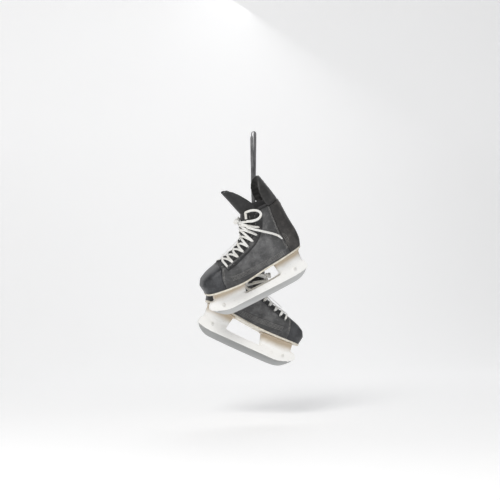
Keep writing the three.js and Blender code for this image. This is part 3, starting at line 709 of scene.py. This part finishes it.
def merged(name, parts, voxel, rounds):
    """One skin over several closed parts: voxel remesh, then smoothing, read back as points and faces."""
    points, faces = joined(parts)
    mesh = bpy.data.meshes.new(name)
    mesh.from_pydata((points * MM).tolist(), [], faces)
    shape = bpy.data.objects.new(name, mesh)
    bpy.context.scene.collection.objects.link(shape)
    skin = shape.modifiers.new("skin", "REMESH")
    skin.mode = "VOXEL"
    skin.voxel_size = voxel * MM
    soft = shape.modifiers.new("soft", "SMOOTH")
    soft.factor = 0.5
    soft.iterations = rounds
    done = shape.evaluated_get(bpy.context.evaluated_depsgraph_get()).to_mesh()
    out = np.empty(len(done.vertices) * 3)
    done.vertices.foreach_get("co", out)
    polygons = [list(polygon.vertices) for polygon in done.polygons]
    shape.evaluated_get(bpy.context.evaluated_depsgraph_get()).to_mesh_clear()
    bpy.data.objects.remove(shape)
    return out.reshape(-1, 3) / MM, polygons


beam_outline = np.vstack([spline(HOLDER_FOOT, 90), spline(BEAM_TOP, 120)])
beam_points, beam_faces = slab(beam_outline, 9.2, 2.2)
tower_parts = [tower([42, 134], [28, 121], 31), tower([-139, -70], [-137, -58], 27)]
tower_parts += [flange(27, 122, 33.5), flange(-138, -56, 29.5)]
holder_parts = [(beam_points, beam_faces)] + [(rings, capped(rings)) for rings in tower_parts]
holder_points, holder_faces = merged("holder_blank", holder_parts, 1.25, 5)
DISHES = [(92, 19, 9.5), (-97, 17, 9)]
DISH_HEIGHT = 58
for centre_x, reach_x, reach_z in DISHES:
    waist = ((holder_points[:, 0] - centre_x) / reach_x) ** 2
    waist += ((holder_points[:, 2] - DISH_HEIGHT) / reach_z) ** 2
    dish = 0.7 * (1 - smoothstep(waist, 0.45, 1.1))
    holder_points[:, 1] -= np.sign(holder_points[:, 1]) * dish * smoothstep(np.abs(holder_points[:, 1]), 3, 6)
crease = smoothstep(holder_points[:, 0], -70, -62) * (1 - smoothstep(holder_points[:, 0], -62, -56))
holder_points[:, 1] *= 1 - 0.06 * crease * smoothstep(holder_points[:, 2], 58, 68)
# Nearness to the sole's underside, which sets the painted shade under the sole.
holder_shade_rise_values = smoothstep(holder_points[:, 2] - sole_height(holder_points[:, 0]), -30, -1)
for skate in SKATES:
    made = skate.piece("holder", holder_points, holder_faces, holder_plastic, ["holder"], "holder_plastic",
                       sharp=60)
    keep_values(made, "height", holder_shade_rise_values)

# ---------------------------------------------------------------------------
# Two bolts through each holder and the steel's tabs: a domed head 8.8 mm wide with a hexagon socket on the outer
# side and a low nut on the inner. Their coat is pale, with slight rubbing marks.
# ---------------------------------------------------------------------------
bolt_steel = Finish("bolt_steel", (0.8, 0.79, 0.76), 0.3, Metallic=0.1)
bolt_rub = bolt_steel.noise(bolt_steel.place(own=True), 0.9, 5)
bolt_steel.feed("Roughness", bolt_rub * 0.35 + 0.15)
bolt_steel.feed("Base Color", bolt_steel.mix(bolt_rub, (0.74, 0.73, 0.7), (0.88, 0.88, 0.86)))


def turned(profile, centre, sides=40, hexes=()):
    """A body of revolution across the skate: radius and y pairs; those listed in hexes are six-sided."""
    turn = once_around(sides)
    six = np.cos(np.pi / 6) / np.cos((turn + np.pi / 6) % (np.pi / 3) - np.pi / 6)
    rings = []
    for place, (radius, y) in enumerate(profile):
        reach = radius * (six if place in hexes else 1)
        x, z = centre[0] + reach * np.cos(turn), centre[1] + reach * np.sin(turn)
        rings.append(np.stack([x, np.full(sides, y), z], -1))
    return np.array(rings)


BOLT_PROFILE = [(0.05, 10.6), (1.9, 10.6), (2.0, 12.0), (2.4, 12.3), (3.3, 12.1), (4.1, 11.5), (4.4, 10.8), (4.4, 9.2),
                (2.6, 9.2), (2.6, -9.2), (4.2, -9.2), (4.3, -11.4), (3.6, -11.9), (2.4, -12), (0.05, -12)]
for skate in SKATES:
    for word, x in (("rear", -108), ("front", 108)):
        rings = turned(BOLT_PROFILE, (x, 36), hexes=(1, 2, 10, 11))
        skate.piece("holder_bolt_" + word, rings, capped(rings), bolt_steel, ["holder_bolt_" + word], "bolt_steel",
                    sharp=30)

# ---------------------------------------------------------------------------
# The outsole, a cream board 4.5 mm thick standing 1.6 mm out all round, and the footbed inside the boot. Both are
# plates that follow the sole's line: rings drawn in to the foot's middle line, top and bottom, with a round edge.
# ---------------------------------------------------------------------------
sole_board = Finish("outsole", (0.78, 0.73, 0.63), 0.5, Coat_Weight=0.15)
sole_grime = sole_board.noise(sole_board.place((1, 1, 2.5), own=True), 0.09, 6).step(0.4, 0.75)
sole_board.feed("Base Color", sole_board.mix(sole_grime, (0.8, 0.755, 0.66), (0.6, 0.54, 0.44)))
sole_board.feed("Normal", sole_board.bump(sole_board.noise(sole_board.place(own=True), 0.8), 0.2, 0.0006))
insole_felt = Finish("insole_felt", (0.05, 0.05, 0.052), 0.95, Sheen_Weight=0.4)
insole_fuzz = insole_felt.noise(insole_felt.place(own=True), 1.6, 6)
insole_felt.feed("Base Color", insole_felt.mix(insole_fuzz, (0.03, 0.03, 0.032), (0.085, 0.085, 0.088)))
insole_felt.feed("Normal", insole_felt.bump(insole_fuzz, 0.6, 0.0008))


def sole_plate(offset, low, high, edge):
    """A plate between two heights over the sole's line, under the slice of the form at the sole."""
    turn = np.linspace(0, 2 * np.pi, 4001)
    outline = resample(form_ring(turn, sole_height(20) + 4, offset), 241)[:-1]
    centre = np.stack([outline[:, 0], middle_line(outline[:, 0])], -1)
    rings = []
    steps = [(0.02, low), (0.3, low), (0.6, low), (0.9, low), (1 - edge / 60, low), (1, low + edge), (1, high - edge),
             (1 - edge / 60, high), (0.9, high), (0.6, high), (0.3, high), (0.02, high)]
    for share, height in steps:
        x = outline[:, 0] * (share * 0.06 + 0.94 if share < 0.99 else 1)
        y = middle_line(x) + (outline[:, 1] - centre[:, 1]) * share
        rings.append(np.stack([x, y, sole_height(x) + height], -1))
    return np.array(rings)


for skate in SKATES:
    rings = sole_plate(1.6, 0, SOLE_THICK, 1.2)
    skate.piece("outsole", rings, capped(rings), sole_board, ["outsole"], "outsole", sharp=50)
    rings = sole_plate(-3.8, WALL_FOOT, WALL_FOOT + 3, 0.8)
    skate.piece("footbed", rings, capped(rings), insole_felt, ["footbed"], "footbed", sharp=50)

# ---------------------------------------------------------------------------
# The leather of the boot: toe cap, heel counter and two quarters, 3.3 mm thick, cut along seams given in the side
# view and laid on the form. Quarters carry a raised skirt along the sole and soft creases at the ankle. Black,
# worn grey on the quarters, whose lighter patches are partly painted highlight, a little blue at the toe and brown
# at the back.
# ---------------------------------------------------------------------------


def leather(name, dark, worn, rough, wear=0.5, grain=1.0, coat=0.12):
    """Grained leather: its dark dye worn through in patches, lighter still where a wear attribute says so, with fine
    creases in the bump.
    """
    made = Finish(name, dark, rough, Coat_Weight=coat, Coat_Roughness=0.35)
    here = made.place(own=True)
    rub = made.noise(here, 0.035, 6, 0.62).step(wear - 0.14, wear + 0.16)
    specks = made.noise(here, 0.28, 6, 0.7).step(0.5, 0.78)
    pebbles = made.node("ShaderNodeTexVoronoi", {}, {"Vector": here, "Scale": 0.85}, "Distance")
    creases = made.noise(made.place((0.35, 0.35, 1.5), own=True), 0.16, 5, 0.6)
    # On the quarters the wear attribute adds lighter patches: partly worn dye, partly painted highlight where light
    # falls.
    share = rub * 0.6 + specks * 0.3 + made.attribute("wear") * (specks * 0.5 + 0.5)
    made.feed("Base Color", made.mix(share.clamp(), dark, worn))
    made.feed("Roughness", rub * 0.16 + rough - 0.06 + specks * 0.08)
    fine = made.bump(pebbles, 0.22 * grain, 0.0005)
    made.feed("Normal", made.bump(creases, 0.35 * grain, 0.0022, fine))
    return made


quarter_leather = leather("quarter_leather", (0.04, 0.04, 0.041), (0.175, 0.175, 0.177), 0.5, 0.54)
toe_leather = leather("toe_leather", (0.02, 0.021, 0.024), (0.085, 0.088, 0.096), 0.38, 0.54, 0.6)
counter_leather = leather("counter_leather", (0.024, 0.022, 0.021), (0.105, 0.096, 0.09), 0.46, 0.54)
facing_leather = leather("facing_leather", (0.009, 0.009, 0.01), (0.045, 0.045, 0.047), 0.46, 0.57)

TOE_SEAM = [[91, 77], [92, 104], [87, 122], [81, 136], [79, 141]]
COUNTER_SEAM = [[-109, 84], [-108.5, 105], [-106, 127], [-102, 152], [-102, 187], [-104, 229]]
FACING_EDGE = [[77, 140.4], [73, 139], [52, 143], [32, 148.5], [13, 154.5], [-5, 161], [-22, 168.5],
               [-37, 179.5], [-49, 195], [-56, 212], [-59, 226]]
SKIRT_TOP = [[-160, 120], [-106, 107], [-90, 103.5], [-60, 101.5], [-20, 101], [30, 103], [70, 107], [100, 112]]


def seam_x(seam, z):
    """Where a seam of the side view lies at height z."""
    curve = spline(seam, 60)
    return np.interp(z, curve[:, 1], curve[:, 0])


def band_ring(z, from_turn, to_turn, count, offset=0.0):
    """Evenly spaced points of the slice at height z between two turns."""
    fine = form_ring(np.linspace(from_turn, to_turn, 1600), np.full(1600, z), offset)
    return resample(fine, count)


def quarter_relief(x, z):
    """Raised skirt along the sole, a soft ankle pad, slanting creases where the ankle bends, and a dent."""
    skirt = 0.9 * (1 - smoothstep(z - line(SKIRT_TOP, x), -0.5, 0.7)) * (1 - smoothstep(x, 84, 86))
    pad = 2.0 * np.exp(-(((x + 78) / 22) ** 2) - ((z - 176) / 30) ** 2)
    across = (x + 46) * 0.5 + (z - 150) * 0.87
    crease = np.sin(across * 0.36 + 1.1 * np.sin(x * 0.06))
    crease = crease * np.exp(-(((x + 45) / 32) ** 2) - ((z - 148) / 24) ** 2)
    dent = -1.2 * np.exp(-(((x - 28) / 26) ** 2) - ((z - 118) / 9) ** 2)
    return skirt + pad + 0.8 * crease + dent


def quarter_face(side, columns, rows):
    """The quarter as a patch between the sole, the counter's seam, the facing's edge and the toe's seam."""
    s, t = edged(columns, 200), edged(rows, 60)
    foot_x = np.linspace(-108.6, 90.6, 160)
    foot = np.stack([foot_x, sole_height(foot_x) + WALL_FOOT], -1)
    edge = np.vstack([[-103.6, 229], [-90, 229.3], [-66, 229], spline(FACING_EDGE, 120)[::-1], [78.6, 140.2]])
    toe = spline(TOE_SEAM, 60)
    toe = toe[(toe[:, 1] > foot[-1, 1]) & (toe[:, 1] < 140.2)] - [0.5, 0]
    heel = spline(COUNTER_SEAM, 80)
    heel = heel[(heel[:, 1] > foot[0, 1])] + [0.4, 0]
    toe = np.vstack([foot[-1:], toe, edge[-1:]])
    heel = np.vstack([foot[:1], heel, edge[:1]])
    flat = coons(at_shares(foot, s), at_shares(edge, s), at_shares(heel, t), at_shares(toe, t))
    x, z = flat[..., 0], flat[..., 1]
    return on_side(x, z, side, quarter_relief(x, z))


def worn_and_highlit_patches(x, z):
    """Lighter patches behind the lacing, over the ankle bone and along the skirt: worn dye and painted highlight."""
    patches = [(-66, 200, 22, 26, 0.7), (-42, 150, 34, 15, 0.65), (10, 122, 38, 12, 0.6), (-72, 122, 28, 18, 0.5),
               (60, 112, 18, 12, 0.35)]
    return sum(force * np.exp(-(((x - cx) / wx) ** 2) - ((z - cz) / wz) ** 2) for cx, cz, wx, wz, force in patches)


def sideways(side):
    return lambda face: np.broadcast_to([0, side, 0], face.shape)


def from_middle(face):
    """Outward from the boot's long middle: away from the point (x, middle line, 110)."""
    out = face - np.stack([face[..., 0] * 0.8 - 8, middle_line(face[..., 0]), np.full(face.shape[:2], 110.0)], -1)
    return out


DENSE = 1


def toe_face():
    """Rows of slices from the sole to the crest of the seam, each from seam to seam around the front."""
    z = np.arange(78, 139.9, 0.1)
    run = np.concatenate([[0], np.cumsum(np.hypot(np.diff(z), np.diff(form_level(z)[1])))])
    rows = np.interp(edged(90 // DENSE, run[-1]) * run[-1], run, z)
    grid = []
    for height in rows:
        turn = turn_at(seam_x(TOE_SEAM, height), height)
        ring = band_ring(height, -max(turn, 0.004), max(turn, 0.004), 150 // DENSE)
        settle = (1 - (height - 78) / 62) ** 2
        ring[:, 2] += (sole_height(ring[:, 0]) + WALL_FOOT - 78) * settle
        grid.append(ring)
    return np.array(grid)


def counter_face():
    """Rows of slices from the sole to the collar, each from seam to seam around the heel."""
    rows = 87 + edged(110 // DENSE, 142) * 142
    grid = []
    for height in rows:
        turn = turn_at(seam_x(COUNTER_SEAM, height) - 0.4, height)
        ring = band_ring(height, turn, 2 * np.pi - turn, 130 // DENSE)
        hump = 1.4 * np.exp(-(((height - 112) / 20) ** 2))
        ring[:, 0] -= hump * smoothstep(-ring[:, 0], 120, 150)
        settle = (1 - (height - 87) / 142) ** 3
        ring[:, 2] += (sole_height(ring[:, 0]) + WALL_FOOT - 87) * settle
        grid.append(ring)
    return np.array(grid)


for skate in SKATES:
    for word, side in (("outer", 1), ("inner", -1)):
        face = quarter_face(side, 170 // DENSE, 90 // DENSE)
        points, faces = sheet_of(face, WALL_THICK, sideways(side))
        made = skate.piece("quarter_" + word, points, faces, quarter_leather, ["quarter_" + word],
                           "quarter_leather", sharp=70)
        # Lighter patches on the quarter, partly worn dye and partly painted highlight.
        keep_values(made, "wear", worn_and_highlit_patches(points[:, 0], points[:, 2]))
    points, faces = sheet_of(toe_face(), WALL_THICK, from_middle, 0.8)
    skate.piece("toe_cap", points, faces, toe_leather, ["toe_cap"], "toe_leather", sharp=70)
    points, faces = sheet_of(counter_face(), WALL_THICK, from_middle, 0.8)
    skate.piece("heel_counter", points, faces, counter_leather, ["heel_counter"], "counter_leather", sharp=70)

# ---------------------------------------------------------------------------
# The facings, strips 17 mm wide along the open front edge, each with nine black eyelets, and the lining, which
# swells inwards under the collar and stands 7 mm over it at the sides.
# ---------------------------------------------------------------------------
eyelet_metal = Finish("eyelet_metal", (0.1, 0.1, 0.105), 0.35, Metallic=0.8)
eyelet_wear = eyelet_metal.noise(eyelet_metal.place(own=True), 1.2, 5).step(0.5, 0.66)
eyelet_metal.feed("Base Color", eyelet_metal.mix(eyelet_wear, (0.05, 0.05, 0.053), (0.4, 0.4, 0.4)))
lining_cloth = Finish("lining_cloth", (0.03, 0.03, 0.031), 0.9, Sheen_Weight=0.5)
lining_weave = lining_cloth.noise(lining_cloth.place(own=True), 1.3, 5)
lining_cloth.feed("Base Color", lining_cloth.mix(lining_weave, (0.018, 0.018, 0.019), (0.06, 0.06, 0.063)))
lining_cloth.feed("Normal", lining_cloth.bump(lining_weave, 0.5, 0.0007))

EYELETS = np.array([[66, 131], [48, 135], [29, 141], [10, 147], [-8, 153], [-26, 160.5], [-43, 171.5], [-57, 188],
                    [-65, 209]], float)
SKATE_EYELETS = {near: EYELETS, far: EYELETS - [2.0, 7.5]}


def facing_face(side):
    """A strip from the open edge back over the quarter, rounded over its rims."""
    edge = spline(FACING_EDGE[1:], 140)
    along = np.gradient(edge, axis=0)
    along /= np.linalg.norm(along, axis=1, keepdims=True)
    back = edge + np.stack([along[:, 1], -along[:, 0]], -1) * -17
    s, t = edged(130 // DENSE, 190), edged(12, 17)
    low, high = at_shares(edge, s), at_shares(back, s)
    flat = low[None] * (1 - t)[:, None, None] + high[None] * t[:, None, None]
    return on_side(flat[..., 0], flat[..., 1], side, 1.8 + 0.25 * np.sin(np.pi * t)[:, None])


def small_ring(centre, normal, major, minor):
    """A torus around a centre, square to a normal."""
    normal = normal / np.linalg.norm(normal)
    first = np.cross(normal, [0.3, 0.1, 1.0])
    first /= np.linalg.norm(first)
    second = np.cross(normal, first)
    a = once_around(28)[:, None, None]
    b = once_around(10)[None, :, None]
    reach = major + minor * np.cos(b)
    return centre + reach * (np.cos(a) * first + np.sin(a) * second) + minor * np.sin(b) * normal


def side_normal(x, z, side):
    """The form's outward normal at (x, z), from differences of the side's height field."""
    dx = (half_at(x + 1, z) - half_at(x - 1, z)) / 2
    dz = (half_at(x, z + 1) - half_at(x, z - 1)) / 2
    out = np.array([-dx, side, -dz], float)
    return out / np.linalg.norm(out)


def lining_face():
    """Rows of inner slices from the footbed to the collar, open at the front, padded and raised at the ankle."""
    grid = []
    heights = 89 + edged(80 // DENSE, 140) * 140.0
    for height in heights:
        front = np.where(height > 131, line(np.array(FACING_EDGE)[:, ::-1], height) - 1, 58)
        turn = float(turn_at(front, height))
        puff = 2.2 * smoothstep(height, 196, 214) * (1 - smoothstep(height, 224, 230))
        ring = band_ring(height, turn, 2 * np.pi - turn, 180 // DENSE, -3.7 - puff)
        settle = (1 - (height - 89) / 140) ** 3
        ring[:, 2] += (sole_height(ring[:, 0]) + WALL_FOOT + 3.4 - 89) * settle
        pad = smoothstep(-ring[:, 0], 60, 76) * (1 - smoothstep(-ring[:, 0], 100, 118))
        ring[:, 2] += 7 * smoothstep(height, 212, 229) * pad
        grid.append(ring)
    return np.array(grid)


for skate in SKATES:
    for word, side in (("outer", 1), ("inner", -1)):
        points, faces = sheet_of(facing_face(side), 1.5, sideways(side), 0.6)
        skate.piece("facing_" + word, points, faces, facing_leather, ["facing_" + word], "facing_leather", sharp=60)
        rings = []
        for x, z in SKATE_EYELETS[skate]:
            centre = on_side(np.array(x), np.array(z), side, 2.0)
            rings.append((small_ring(centre, side_normal(x, z, side), 3.0, 0.75), grid_faces(28, 10, True, True)))
        points, faces = joined(rings)
        skate.piece("eyelets_" + word, points, faces, eyelet_metal)
    points, faces = sheet_of(lining_face(), 3.0, from_middle, 0.8)
    skate.piece("lining", points, faces, lining_cloth, ["lining"], "lining", sharp=70)

# ---------------------------------------------------------------------------
# The tongue, one curved leaf from under the laces to its tip 80 mm over the collar, with felt behind it, and the
# tendon guard at the back.
# ---------------------------------------------------------------------------
tongue_leather = leather("tongue_leather", (0.015, 0.015, 0.0155), (0.05, 0.05, 0.051), 0.62, 0.58, coat=0.04)
guard_leather = leather("guard_leather", (0.027, 0.0265, 0.026), (0.1, 0.097, 0.095), 0.48, 0.58)
tongue_felt = Finish("tongue_felt", (0.04, 0.04, 0.042), 0.95, Sheen_Weight=0.6)
felt_fuzz = tongue_felt.noise(tongue_felt.place(own=True), 1.5, 8)
tongue_felt.feed("Base Color", tongue_felt.mix(felt_fuzz, (0.03, 0.03, 0.032), (0.1, 0.1, 0.102)))
tongue_felt.feed("Normal", tongue_felt.bump(felt_fuzz, 0.8, 0.001))

TONGUE_EDGE = [[-60, 229], [-66, 234], [-67, 250], [-56, 268], [-42, 286], [-28, 300], [-20, 304.5], [-11, 307.5]]
TONGUE_R = 41
GUARD_R = 44
TONGUE_TUBE = [[225, -34, 37], [252, -25, 36], [280, -16, 34], [312, -4.5, 32]]
GUARD_TUBE = [[225, -141.5, 41.5], [258, -133.3, 40], [284, -126, 36.5], [313, -118, 31]]
GUARD_EDGE = [[-98.5, 226], [-98, 232], [-95, 244], [-94, 262], [-95.5, 277], [-101, 291], [-109, 301],
              [-117, 306]]


def from_ankle(face):
    """Outward from the upright line at x = -70 through the ankle."""
    return face * [1, 1, 0] + [70, 0, 0]


def tongue_ring(height, count, offset):
    """A slice of the boot's form under the collar, melting into the tongue's own oval above it."""
    share = smoothstep(height, 221, 241)
    edge, half = line([r[:2] for r in TONGUE_TUBE], height), line([(r[0], r[2]) for r in TONGUE_TUBE], height)
    if height < 229:
        side_x = line(np.array(FACING_EDGE)[1:, ::-1], height) - 3 * smoothstep(height, 140, 160)
    else:
        side_x = line([(z, x) for x, z in TONGUE_EDGE], height)
    own_centre = edge - TONGUE_R
    turn_form = turn_at(side_x, height)
    turn_oval = np.arccos(np.clip((side_x - own_centre) / TONGUE_R, -1, 1))
    form = band_ring(height, -turn_form, turn_form, count, offset)
    turn = np.linspace(-turn_oval, turn_oval, count)
    oval = np.stack([own_centre + (TONGUE_R + offset) * np.cos(turn), (half + offset) * np.sin(turn),
                     np.full(count, height)], -1)
    return form * (1 - share) + oval * share


def tongue_leaf(offset, low, high):
    """Rows of slices spaced evenly along the instep's crest."""
    z = np.arange(low, high, 0.1)
    crest = np.where(z < 231, form_level(z)[1], line([r[:2] for r in TONGUE_TUBE], z))
    run = np.concatenate([[0], np.cumsum(np.hypot(np.diff(z), np.diff(crest)))])
    rows = np.interp(edged(150 // DENSE, run[-1]) * run[-1], run, z)
    return np.array([tongue_ring(float(height), 80 // DENSE, offset) for height in rows])


def guard_leaf(offset, low, high):
    """Rows of slices around the back, drawn in under the collar, with a soft swell between two ridges."""
    grid = []
    for height in low + edged(80 // DENSE, high - low) * (high - low):
        edge, half = line([r[:2] for r in GUARD_TUBE], height), line([(r[0], r[2]) for r in GUARD_TUBE], height)
        inset = offset - 3.7 * (1 - smoothstep(height, 226.5, 233))
        side_x = line([(z, x) for x, z in GUARD_EDGE], height)
        reach = np.arccos(np.clip((edge + GUARD_R - side_x) / GUARD_R, -1, 1))
        turn = np.linspace(np.pi - reach, np.pi + reach, 90 // DENSE)
        swell = 1.1 * np.sin(np.clip((height - 236) / 12, 0, 5) * np.pi) ** 2 * (1 - smoothstep(height, 286, 299))
        depth = inset + swell * 0.5 - 0.5
        grid.append(np.stack([edge + GUARD_R + (GUARD_R + depth) * np.cos(turn),
                              (half + depth) * np.sin(turn), np.full(len(turn), height)], -1))
    return np.array(grid)


for skate in SKATES:
    points, faces = sheet_of(tongue_leaf(-0.9, 139, 307.2), 2.4, from_ankle, 0.9)
    tongue = skate.piece("tongue", points, faces, tongue_leather, ["tongue_base", "tongue"], "tongue_leather",
                         body="blend", sharp=70)
    skate.world((-40, 0, 221))
    skate.world((-40, 0, 240))
    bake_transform(tongue)
    points, faces = sheet_of(tongue_leaf(-3.6, 232, 303.5), 4.0, from_ankle, 1.6)
    skate.piece("tongue_felt", points, faces, tongue_felt, ["tongue_felt"], "felt",
                body=skate.name + "_tongue_flap", sharp=70)
    points, faces = sheet_of(guard_leaf(0, 225.5, 306), 4.4, from_middle, 1.6)
    guard = skate.piece("tendon_guard", points, faces, guard_leather, ["tendon_guard"], "guard_leather",
                        body="blend", sharp=70)
    skate.world((-130, 0, 227))
    skate.world((-130, 0, 238))
    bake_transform(guard)

# ---------------------------------------------------------------------------
# A small loop of light webbing sewn to the back seam under the guard.
# ---------------------------------------------------------------------------
webbing = Finish("tab_webbing", (0.5, 0.49, 0.46), 0.85)
web_rows = webbing.node("ShaderNodeTexWave", {"bands_direction": "Z"},
                        {"Vector": webbing.place(own=True), "Scale": 0.45})
webbing.feed("Base Color", webbing.mix(web_rows, (0.36, 0.35, 0.33), (0.6, 0.59, 0.56)))
webbing.feed("Normal", webbing.bump(web_rows, 0.5, 0.0004))
for skate in SKATES:
    heights = np.linspace(205.5, 222.5, 26)
    across = np.linspace(-5.5, 5.5, 9)
    bow = 1.5 * np.sin(np.linspace(0, np.pi, 26))
    back = form_level(heights)[0] - 0.5 - bow
    grid = np.stack([np.broadcast_to(back[:, None], (26, 9)) + across[None] ** 2 * 0.012,
                     np.broadcast_to(across[None], (26, 9)), np.broadcast_to(heights[:, None], (26, 9))], -1)
    points, faces = sheet_of(grid, 1.3, from_middle, 0.5)
    skate.piece("pull_tab", points, faces, webbing, ["pull_tab"], "tab_webbing", sharp=60)

# ---------------------------------------------------------------------------
# The lacing: flat white lace 6.2 mm wide, crossing from each eyelet to the next one up on the other side. Each run
# dips into its eyelets and passes over or under its partner at the crest.
# ---------------------------------------------------------------------------


def over_instep(eyelets, rise, across, lift):
    """A point lifted off the instep, and the ray it lies on: the form's edge is found by halving the ray."""
    x, z = (np.interp(rise, np.arange(9), eyelets[:, k]) for k in (0, 1))
    low, high = eyelets[min(7, int(rise))], eyelets[min(7, int(rise)) + 1]
    out = np.array([high[1] - low[1], 0, low[0] - high[0]])
    out /= np.linalg.norm(out)
    turn = across * np.pi / 2
    ray = out * math.cos(turn) + np.array([0, math.sin(turn), 0])
    start = np.array([x, middle_line(x), z])
    near_reach, far_reach = 0.0, 90.0
    for _ in range(22):
        reach = (near_reach + far_reach) / 2
        at = start + ray * reach
        inside = abs(at[1] - middle_line(at[0])) < half_at(at[0], at[2])
        near_reach, far_reach = (reach, far_reach) if inside else (near_reach, reach)
    return start + ray * (near_reach + lift), ray


for skate in SKATES:
    parts, runs, widths = [], [], []
    for row in range(8):
        for side in (1, -1):
            shares = np.linspace(-1, 1, 41)
            over = (1 if (row + (side > 0)) % 2 else -1) * 1.1
            lift = 4.2 + over * np.exp(-((shares / 0.22) ** 2)) - 3.4 * np.abs(shares) ** 10
            route = [over_instep(SKATE_EYELETS[skate], row + (share + 1) / 2, side * share, rise)
                     for share, rise in zip(shares, lift)]
            path = spline(np.array([r[0] for r in route])[::2], 60)
            facing = at_shares(np.array([r[1] for r in route]), np.linspace(0, 1, 60))
            half_wide = 3.1 - 0.9 * np.abs(np.linspace(-1, 1, 60)) ** 8
            rings = lace_rings(path, facing, half_wide, 0.95)
            parts.append((rings, capped(rings)))
            runs.append(np.repeat(np.linspace(0, 0.1, 60), LACE_CORNERS))
            widths.append(np.tile(LACE_SQUARE, 60))
    points, faces = joined(parts)
    lacing = skate.piece("lacing", points, faces, white_lace, ["lacing"], "white_lace", sharp=60)
    keep_values(lacing, "run", np.concatenate(runs))
    keep_values(lacing, "width", np.concatenate(widths))

# ---------------------------------------------------------------------------
# Stitching: rows of 2.9 mm stitches in pale waxed thread, along the skirt, in arches over the heel, and beside the
# seams of the toe cap, the counter and the facings.
# ---------------------------------------------------------------------------
thread = Finish("waxed_thread", (0.16, 0.155, 0.145), 0.6)
thread_age = thread.noise(thread.place(own=True), 0.2)
thread.feed("Base Color", thread.mix(thread_age, (0.24, 0.236, 0.225), (0.52, 0.51, 0.485)))


def stitches(line_points, side, lift, pitch=3.8, length=2.9):
    """Small spindles along a side-view line: rings of radius sqrt(1 - t^2) about each stitch's run."""
    curve = np.asarray(line_points, float)
    steps = np.linalg.norm(np.diff(curve, axis=0), axis=1).sum()
    count = int(steps / pitch)
    t = np.array([-1, -0.7, 0, 0.7, 1.0])
    turn = once_around(6)
    parts = []
    for k in range(count):
        ends = at_shares(curve, np.array([k * pitch, k * pitch + length]) / steps)
        spots = np.stack([on_side(e[0], e[1], side, lift + quarter_relief(e[0], e[1])) for e in ends])
        way = (spots[1] - spots[0]) / 2
        span = np.linalg.norm(way)
        out = side_normal(*((ends[0] + ends[1]) / 2), side)
        across = np.cross(way / span, out)
        radius = 0.42 * np.sqrt(np.maximum(1 - t**2, 0.04))
        rings = spots.mean(0) + t[:, None, None] * way + (out * 0.25 * (1 - t**2)[:, None])[:, None]
        rings = rings + radius[:, None, None] * (
            np.cos(turn)[:, None] * across + np.sin(turn)[:, None] * out)
        parts.append((rings, capped(rings)))
    return parts


def offset_line(points, by, count=200):
    """A side-view line moved sideways to its own left."""
    curve = spline(points, count)
    along = np.gradient(curve, axis=0)
    along /= np.linalg.norm(along, axis=1, keepdims=True)
    return curve + np.stack([-along[:, 1], along[:, 0]], -1) * by


HEEL_ARCH = [[-104, 146], [-110, 138], [-113.5, 127], [-111.5, 115], [-106.5, 105], [-104.5, 99]]
SEAM_ROWS = [
    (offset_line(SKIRT_TOP[2:-1], -2.2), 0.1), (offset_line(SKIRT_TOP[2:-1], -5.6), 0.1),
    (offset_line(SKIRT_TOP[2:-1], -9), 0.1), (offset_line(SKIRT_TOP[2:-1], -12.4), 0.1),
    (spline(HEEL_ARCH, 90), 0.2), (spline(HEEL_ARCH, 90) - [4, 0], 0.2), (spline(HEEL_ARCH, 90) + [4.2, 0], 0.2),
    (offset_line(TOE_SEAM[1:], 3.0), 0.1), (offset_line(TOE_SEAM[1:], 5.4), 0.1),
    (offset_line(COUNTER_SEAM[1:], -3.0), 0.1), (offset_line(COUNTER_SEAM[1:], -5.4), 0.1),
    (offset_line(FACING_EDGE[2:], -14.2), 1.9), (offset_line(FACING_EDGE[2:], -2.2), 1.9),
]
for skate in SKATES:
    parts = []
    for side in (1, -1):
        for row, lift in SEAM_ROWS:
            parts += stitches(row, side, lift)
    points, faces = joined(parts)
    skate.piece("stitching", points, faces, thread, sharp=80)
